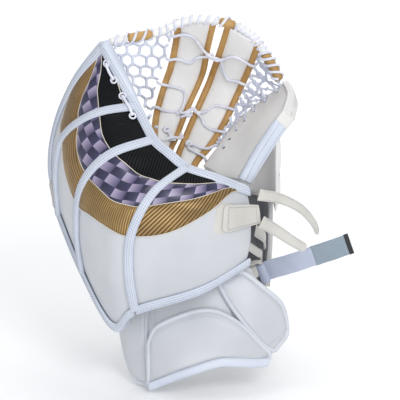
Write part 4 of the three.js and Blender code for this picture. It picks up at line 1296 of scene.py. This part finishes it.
for name, surface, wide, tall, thick, seams_u, seams_v, crown, material, heart, node, slot, body in (
    ("finger_cover_pad", finger_back, 4, 2.3, 0.009, (0.3, 0.62), (0.5,), 0.0018, grey_cover,
     at(40, 50, 240), "finger_cover", "grey_cover", "palm"),
    ("back_pad_quilt", hand_back, 4, 2, 0.013, (0.25, 0.5, 0.75), (0.35, 0.7), 0.0026, grey_cover,
     at(15, 40, 150), "back_pad", "grey_cover", "palm"),
    ("thumb_cover_pad", thumb_back, 2, 4, 0.007, (0.5,), (0.25, 0.5, 0.75), 0.0018, grey_cover,
     at(-125, 40, 280), "thumb_cover", "grey_cover", "thumb"),
    ("palm_pad_lining", palm_front, 2, 2, 0.012, (), (), 0.0010, lining, at(0, -60, 170), "palm_pad",
     "foam", "palm"),
):
    made, rows = pad(name, surface, wide, tall, thick, seams_u, seams_v, crown, material, heart)
    placed(made, body, slot, node)
    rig.padded(made, 0.8)
    if rows:
        sewn = stitches(name + "_thread", rows, dark_thread, 0.0032)
        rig.ride(sewn, body)
s, t = np.meshgrid(np.linspace(0.02, 0.98, 50), np.linspace(0.02, 0.98, 40), indexing="ij")
inward = -1.0 if np.dot(hand_back.normal(2, 1), hand_back(2, 1) - at(15, 40, 150)) > 0 else 1.0
creases = 0.0006 * np.sin(s * 40 + 3 * np.sin(t * 9))
back_lining = slab("back_pad_lining", hand_back.lifted(4 * s, 2 * t, inward * (0.0016 + creases)),
                   hand_back.lifted(4 * s, 2 * t, inward * (-0.0006 + creases)), lining)
placed(back_lining, "palm", "foam")
s, t = grid(40, 40)
fold = 0.0016 * np.sin(s * 9 * math.pi) * np.sin(math.pi * t)
stretch_panel = slab("thumb_stretch_panel", gusset_surface.lifted(2 * s, 2 * t, 0.0010 + fold),
                     gusset_surface.lifted(2 * s, 2 * t, -0.0010 + fold), dark_stretch)
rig.blend(stretch_panel, "palm", "thumb", at(-55, 68, 160), at(-92, 62, 160))
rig.replaces(stretch_panel, "thumb_gusset")
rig.slot(stretch_panel, "dark_stretch")

# ---------------------------------------------------------------- tabs and free straps
# Flat leather pieces with a skived edge and a stitched outline.
strap_leather = leather("strap leather", (0.60, 0.585, 0.545), (0.53, 0.515, 0.475), 0.5, scale=1.4,
                        depth=0.5)


def outline_rows(surface, lift, inset):
    """A stitched line just inside the border of a patch: surface(s, t) gives points."""
    k = np.linspace(inset, 1 - inset, 60)
    a, b = inset + 0 * k, 1 - inset + 0 * k
    return [surface(k, a, lift), surface(b, k, lift), surface(k[::-1], b, lift), surface(a, k[::-1], lift)]


def rounded(s, t, top_left, top_right, low_left, low_right):
    """Pulls the ends of each row in so that the patch's corners are round."""
    def inset(t, radius):
        d = np.clip(radius - t, 0, radius)
        return radius - np.sqrt(np.maximum(radius * radius - d * d, 0)) if radius else 0 * t
    left = np.maximum(inset(t, top_left), inset(1 - t, low_left))
    right = np.maximum(inset(t, top_right), inset(1 - t, low_right))
    return left + (1 - left - right) * s


def shell_tab(name, u0, u1, v0, v1, low, high, body, node, corners):
    """A flat leather patch sewn on the shell, between two heights above it."""
    s, t = grid(40, 40)

    def place(s, t, lift):
        return shell.lifted(u0 + (u1 - u0) * rounded(s, t, *corners), v0 + (v1 - v0) * t, lift + 0 * s)

    edge = round_edge(s, t, 9)
    middle = (low + high) / 2
    outer = place(s, t, middle + (high - middle) * edge)
    made = slab(name, outer, place(s, t, middle - (middle - low) * edge), strap_leather)
    placed(made, body, "strap_leather", node)
    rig.ride(stitches(name + "_thread", outline_rows(place, high + 0.0001, 0.11), dark_thread, 0.0028), body)


shell_tab("side_tab_leather", 5.25, 6.12, 0.78, 1.78, 0.0036, 0.0068, "palm", "side_tab",
          (0.18, 0.0, 0.22, 0.0))
shell_tab("thumb_tab_leather", 0.15, 0.80, 3.30, 3.93, 0.0024, 0.0052, "thumb", "thumb_tab",
          (0.2, 0.2, 0.2, 0.2))
s, t = grid(30, 30)
edge = round_edge(s, t, 5)
u, v = 5.10 + 0.45 * rounded(s, t, 0.3, 0.3, 0.3, 0.3), 0.70 + 1.16 * t
raised = slab("side_tab_backing", shell.lifted(u, v, 0.0012 + 0.0032 * edge),
              shell.lifted(u, v, 0.0002 + 0 * u), strap_leather)
placed(raised, "palm", "strap_leather")


def free_strap(name, points, wide, thick, taper, body, node, material=strap_leather, blunt=False):
    """A flat strap on edge along a path, narrowing to a rounded end."""
    line = through([at(*p) for p in points], 70)
    along = np.gradient(line, axis=0)
    along /= np.linalg.norm(along, axis=1, keepdims=True)
    up = np.array([0, 0, 1.0]) - along * along[:, 2:3]
    up /= np.linalg.norm(up, axis=1, keepdims=True)
    out = np.cross(up, along)
    s, t = np.meshgrid(np.linspace(0, 1, 70), np.linspace(-1, 1, 15), indexing="ij")
    half = wide / 2 * (1 - taper * s)
    if not blunt:
        d = np.clip((s - 0.93) / 0.07, 0, 1)
        half = half * np.sqrt(np.maximum(1 - d * d * 0.96, 0))
    edge = round_edge((s * 0.98 + 0.01), (t + 1) / 2, 8)
    i = np.arange(70)[:, None]
    base = line[:, None, :] + up[:, None, :] * (half * t)[..., None]
    high = thick / 2 * (0.15 + 0.85 * edge)
    made = slab(name, base + out[:, None, :] * high[..., None], base - out[:, None, :] * high[..., None],
                material)
    placed(made, body, "strap_leather", node)
    for side in (-1, 1):
        inset = wide / 2 * (1 - taper * np.linspace(0, 1, 70)[4:64, None]) - 0.0016
        rows = [line[4:64] + up[4:64] * inset * k + out[4:64] * side * thick / 2 for k in (-1, 1)]
        label = f"{name}_thread_{'back' if side < 0 else 'face'}"
        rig.ride(stitches(label, rows, dark_thread, 0.0030, 0.0009, 0.00024), body)


free_strap("upper_tongue_leather", [(65, -46, 245), (89, -35, 237), (112, -21, 221), (127, -10, 201),
                                    (133, -5, 185)], 0.0135, 0.0030, 0.50, "upper_tongue", "upper_tongue")
free_strap("lower_tongue_leather", [(68, -48, 214), (85, -36, 200), (102, -26, 185), (119, -18, 172)],
           0.0145, 0.0030, 0.25, "lower_tongue", "lower_tongue")
free_strap("hand_strap_upper_leather", [(62, -24, 196), (72, 2, 180), (74, 30, 163), (74, 56, 152)], 0.013,
           0.0026, 0, "palm", "hand_strap_upper", blunt=True)
free_strap("hand_strap_lower_leather", [(56, -22, 176), (66, 4, 160), (70, 28, 150), (70, 56, 132)], 0.010,
           0.0026, 0, "palm", "hand_strap_lower", blunt=True)
free_strap("loop_tab_leather", [(50, 20, 124), (56, 40, 121), (68, 62, 118)], 0.016, 0.0026, 0, "palm",
           "loop_tab", blunt=True)

# ---------------------------------------------------------------- wrist strap
# Woven webbing turns on a steel bar in a leather loop; its far end is hook tape with a black tip.


def weave_material(name, warp, weft, pitch_u, pitch_v, roughness):
    """Plain weave: a chequer of two tones with raised threads and fuzz."""
    material, tree, nodes = new_material(name, Roughness=roughness)
    add(tree, nodes, "place", "ShaderNodeTexCoord")
    turn = add(tree, nodes, "turn", "ShaderNodeVectorMath", {"operation": "DIVIDE"})
    turn.inputs[1].default_value = (pitch_u, pitch_v, 1)
    add(tree, nodes, "check", "ShaderNodeTexChecker", Scale=1, Color1=(*warp, 1), Color2=(*weft, 1))
    add(tree, nodes, "fuzz", "ShaderNodeTexNoise", Scale=900, Detail=2)
    high = add(tree, nodes, "high", "ShaderNodeMath", {"operation": "MULTIPLY_ADD"})
    high.inputs[1].default_value = 0.6
    add(tree, nodes, "bump", "ShaderNodeBump", Distance=0.0004, Strength=0.7)
    wire(tree, nodes, "place.UV > turn.0, turn.0 > check.Vector, place.Object > fuzz.Vector, "
         "check.Fac > high.0, fuzz.Fac > high.2, high.0 > bump.Height, "
         "check.Color > shader.Base Color, bump.0 > shader.Normal")
    return material


webbing = weave_material("wrist webbing", (0.50, 0.54, 0.66), (0.43, 0.47, 0.60), 0.0011, 0.0011, 0.75)
hook_tape = weave_material("hook tape", (0.33, 0.40, 0.46), (0.22, 0.28, 0.33), 0.0016, 0.0008, 0.8)
tip_black = leather("strap tip", (0.012, 0.013, 0.016), (0.006, 0.007, 0.009), 0.45, scale=2)
steel = leather("steel bar", (0.55, 0.56, 0.58), (0.48, 0.49, 0.51), 0.25, depth=0.05)
steel.node_tree.nodes["Principled BSDF"].inputs["Metallic"].default_value = 1.0
strap_up = np.array([-0.327, 0, 0.945])
strap_out = np.array([0.945, -0.05, 0.327])
strap_out /= np.linalg.norm(strap_out)
strap_side = np.cross(strap_up, strap_out)
strap_side /= np.linalg.norm(strap_side)
bar_centre = at(72, 14, 132)


def on_webbing(x, y, z):
    """A point x out from the bar, y behind the webbing and z along the bar, all in mm."""
    x, y, z = (np.asarray(k)[..., None] / 1000 for k in np.broadcast_arrays(x, y, z))
    return bar_centre + strap_out * x + strap_side * y + strap_up * z


curve_y = through([(0, 4.2, 0), (30, 3, 0), (62, 4.5, 0), (108, 9, 0)], 400)
for name, x0, x1, thick, wide, material, node, slot in (
    ("wrist_webbing", 0.5, 62, 2.4, 23, webbing, "wrist_strap", "webbing"),
    ("wrist_hook_tape", 60, 101.5, 3.4, 24, hook_tape, "wrist_strap_hook", "hook_tape"),
    ("wrist_strap_end", 100, 105.2, 4.0, 24.8, tip_black, "wrist_strap_tip", "strap_tip"),
):
    s, t = np.meshgrid(np.linspace(0, 1, 80), np.linspace(-1, 1, 25), indexing="ij")
    x = x0 + (x1 - x0) * s
    y = np.interp(x, curve_y[:, 0], curve_y[:, 1])
    y = y + 0.5 * np.sin(x * 0.13) * (x > 12) + 0.25 * np.sin(x * 0.31 + t * 2)
    edge = round_edge(s, (t + 1) / 2, 12)
    high = thick / 2 * (0.3 + 0.7 * edge)
    face, behind = on_webbing(x, y - high, t * wide / 2), on_webbing(x, y + high, t * wide / 2)
    made = slab(name, face, behind, material, lengths(face))
    placed(made, "wrist_strap", slot, node)
q = np.linspace(0.3, 2 * math.pi + 0.15, 50)
s, t = np.meshgrid(q, np.linspace(-11.3, 11.3, 25), indexing="ij")
eye_faces = [on_webbing(-radius * np.sin(s), radius * np.cos(s), t) for radius in (5.3, 3.1)]
eye = slab("wrist_webbing_eye", *eye_faces, webbing)
placed(eye, "wrist_strap", "webbing")
SEAM = np.zeros(30)     # the stops of a straight seam across the webbing
rows = [on_webbing(x + SEAM, y + SEAM, np.linspace(-10, 10, 30)) for x, y in ((9, 1.9), (14, 1.7))]
rows += [on_webbing(np.linspace(a, b, 20), 1.8 + 0 * np.linspace(0, 1, 20), np.linspace(-10, 10, 20))
         for a, b in ((9, 14), (14, 9))]
for x in (64, 98):
    y = np.interp(x, curve_y[:, 0], curve_y[:, 1]) - 2.2
    rows.append(on_webbing(x + SEAM, y + SEAM, np.linspace(-11, 11, 30)))
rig.ride(stitches("wrist_strap_thread", rows, thread, 0.0026, 0.0009, 0.0003), "wrist_strap")
rod = cord("strap_bar", [[on_webbing(0, 0, z) for z in np.linspace(-13.6, 13.6, 12)]], 0.0024, steel, 16)
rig.ride(rod, "palm")


def squared(x):
    """Bends a circle's coordinate towards a square with round corners."""
    return np.sign(x) * abs(x) ** 0.5


q = np.linspace(0, 2 * math.pi, 61)[:-1]
loop_path = [on_webbing(-7.6 + 9.4 * squared(math.cos(k)), 0, 15.0 * squared(math.sin(k))) for k in q]
loop = cord("strap_loop_leather", [loop_path], 0.0027, strap_leather, 14, closed=True)
placed(loop, "palm", "strap_leather", "strap_loop")

# ---------------------------------------------------------------- cuff
# Four foam panels under white leather curve round the front of the wrist: the middle panel, a wing
# on each side and a flap hung over the middle. Round piping closes the edges.


def on_cuff(x, z, lift):
    """A point on the cuff's curve, from the drawing's x and z in mm, lifted off it in mm."""
    x, z, lift = np.broadcast_arrays(np.asarray(x, float), np.asarray(z, float), np.asarray(lift, float))
    a = np.arcsin(np.clip((x - 9) / 106, -0.985, 0.985))
    deep = 86 - 52 * np.clip((z - 20) / 130, 0, 1.3) ** 1.5
    n = np.stack([np.sin(a) * deep, -np.cos(a) * 106, -12 + 0 * a], -1)
    n /= np.linalg.norm(n, axis=-1, keepdims=True)
    p = np.stack([9 + 106 * np.sin(a), 5 - deep * np.cos(a), z], -1) + n * lift[..., None]
    return (p - np.array([8.0, 20.0, 120.0])) / 1000


def edge_line(points):
    """A smooth line through [x, z] points, as a function of a fraction."""
    fine = through([(x, 0, z) for x, z in points], 600)
    return lambda t: np.stack([np.interp(t, np.linspace(0, 1, 600), fine[:, k]) for k in (0, 2)], -1)


def cuff_patch(first, last, corners):
    """Points between a left and a right edge."""
    def place(s, t, lift):
        k = rounded(s, t, *corners)
        q = first(t) * (1 - k)[..., None] + last(t) * k[..., None]
        return on_cuff(q[..., 0], q[..., 1], lift)
    return place


def cuff_pad(name, place, low, high, crown, body, node, seams=()):
    """A foam panel between two lifts off the cuff's curve, in mm, with creases along its seams."""
    s, t = grid(90, 80)
    edge = round_edge(s, t, 9)
    middle = (low + high) / 2
    crease = sum(np.exp(-((s - a - (b - a) * t) / 0.008) ** 2) for a, b in seams) if seams else 0 * s
    outer = place(s, t, middle + (high - middle) * edge + crown * round_edge(s, t, 2.2) - 1.6 * crease)
    inner = place(s, t, middle - (middle - low) * edge)
    made = slab(name, outer, inner, white_leather, lengths(outer))
    placed(made, body, "white_leather", node)
    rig.padded(made, 0.85)


cuff_piping = leather("cuff piping", (0.60, 0.625, 0.67), (0.54, 0.565, 0.61), 0.42, scale=1.6, depth=0.25)


def piped(name, place, lift, radius, body, sides="LTRB"):
    """A round piping along the chosen sides of a patch."""
    k = np.linspace(0, 1, 90)
    runs = {"L": (0 * k, k[::-1]), "T": (k, 0 * k), "R": (0 * k + 1, k), "B": (k[::-1], 0 * k + 1)}
    path = np.concatenate([place(*runs[side], lift + 0 * k) for side in sides])
    keep = [0]
    for i in range(1, len(path)):
        if np.linalg.norm(path[i] - path[keep[-1]]) > 0.0012:
            keep.append(i)
    path = path[keep]
    closed = sides == "LTRB" and np.linalg.norm(path[0] - path[-1]) < 0.004
    made = cord(name, [path[:-1] if closed else path], radius, cuff_piping, 12, closed=closed)
    placed(made, body, "pale_binding")


panel = cuff_patch(edge_line([(-60, 152), (-61.5, 110), (-60.5, 72), (-58, 36)]),
                   edge_line([(58, 150), (72, 124), (78, 92), (76, 62)]), (0, 0, 0.05, 0.05))
cuff_pad("cuff_middle", panel, -8, 0, 1.2, "cuff", "cuff_panel",
         seams=((0.70, 0.74), (0.745, 0.785), (0.045, 0.10)))
left_wing = cuff_patch(edge_line([(-95, 118), (-94, 84), (-87, 48), (-76, 22)]),
                       edge_line([(-60, 118), (-62, 84), (-61, 50), (-59, 24)]), (0, 0, 0.22, 0.16))
cuff_pad("cuff_left", left_wing, -8, 0, 1.5, "cuff", "cuff_left_wing")
piped("cuff_left_piping", left_wing, -3.2, 0.0026, "cuff", "RBL")
right_wing = cuff_patch(edge_line([(17, 148), (28, 127), (44, 104), (78, 62)]),
                        edge_line([(46, 152), (68, 134), (88, 114), (101, 84)]), (0.05, 0.16, 0.14, 0.36))
cuff_pad("cuff_right", right_wing, 1.2, 9, 1.6, "cuff", "cuff_right_wing")
piped("cuff_right_piping", right_wing, 5.2, 0.0030, "cuff")
rows = outline_rows(lambda s, t, lift: right_wing(s, t, lift + 0 * s), 9.3, 0.075)
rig.ride(stitches("cuff_right_thread", rows, thread, 0.0030), "cuff")

flap_top = edge_line([(-55, 75), (-45, 94), (-11, 110), (17, 112), (42, 99), (62, 79), (75, 63)])
flap_low = edge_line([(-54, 28), (-44, 34), (-20, 47), (17, 60), (40, 60), (60, 57), (74, 56)])


def flap(s, t, lift):
    """The flap between its curved top and bottom edges."""
    top, low = flap_top(s), flap_low(s)
    q = top * (1 - t)[..., None] + low * t[..., None]
    return on_cuff(q[..., 0], q[..., 1], lift)


cuff_pad("flap_pad", flap, 2.4, 8.7, 1.2, "flap", "cuff_flap")
piped("flap_top_piping", flap, 6.2, 0.0028, "flap", "LTR")
EDGE = [(-4.5, 8.9), (-4.2, 10.2), (-1.5, 10.8), (2.5, 10.2), (5.8, 8.2), (7.2, 5.2), (6.2, 2.4),
        (3.2, 1.2), (-1.5, 1.0), (-4.4, 1.2), (-4.4, 2.2), (-0.6, 2.6), (0.2, 5.4), (-0.6, 8.4)]


def flap_edge(t, a, b):
    """The flap's bottom binding, narrower at both ends."""
    x, z = flap_low(t)
    ends = max(0.0, 1 - min(t, 1 - t) / 0.035)
    return on_cuff(x, z - a * (1 - 0.5 * ends ** 2), 5.4 + (b - 5.4) * (1 - 0.45 * ends ** 2))


flap_tape = wrapped("flap_edge_tape", flap_edge, 110, tape, EDGE)
placed(flap_tape, "flap", "pale_binding", "cuff_flap_binding")
k = np.linspace(0.01, 0.99, 160)
line = flap_low(k)
rows = [on_cuff(line[:, 0], line[:, 1] + up, lift) for up, lift in ((3.0, 10.4), (6.0, 9.4))]
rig.ride(stitches("flap_thread", rows, thread, 0.0030), "flap")
line = flap_top(k)
rows = [on_cuff(line[:, 0] * 0.95, line[:, 1] - 5.0, 9.2)]
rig.ride(stitches("flap_top_thread", rows, thread, 0.0030), "flap")

bounds_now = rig.bounds()
with open("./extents.json", "w") as out:
    json.dump({"cad": [list(map(float, c)) for c in cad_box],
               "visual": [list(map(float, c)) for c in bounds_now]}, out)
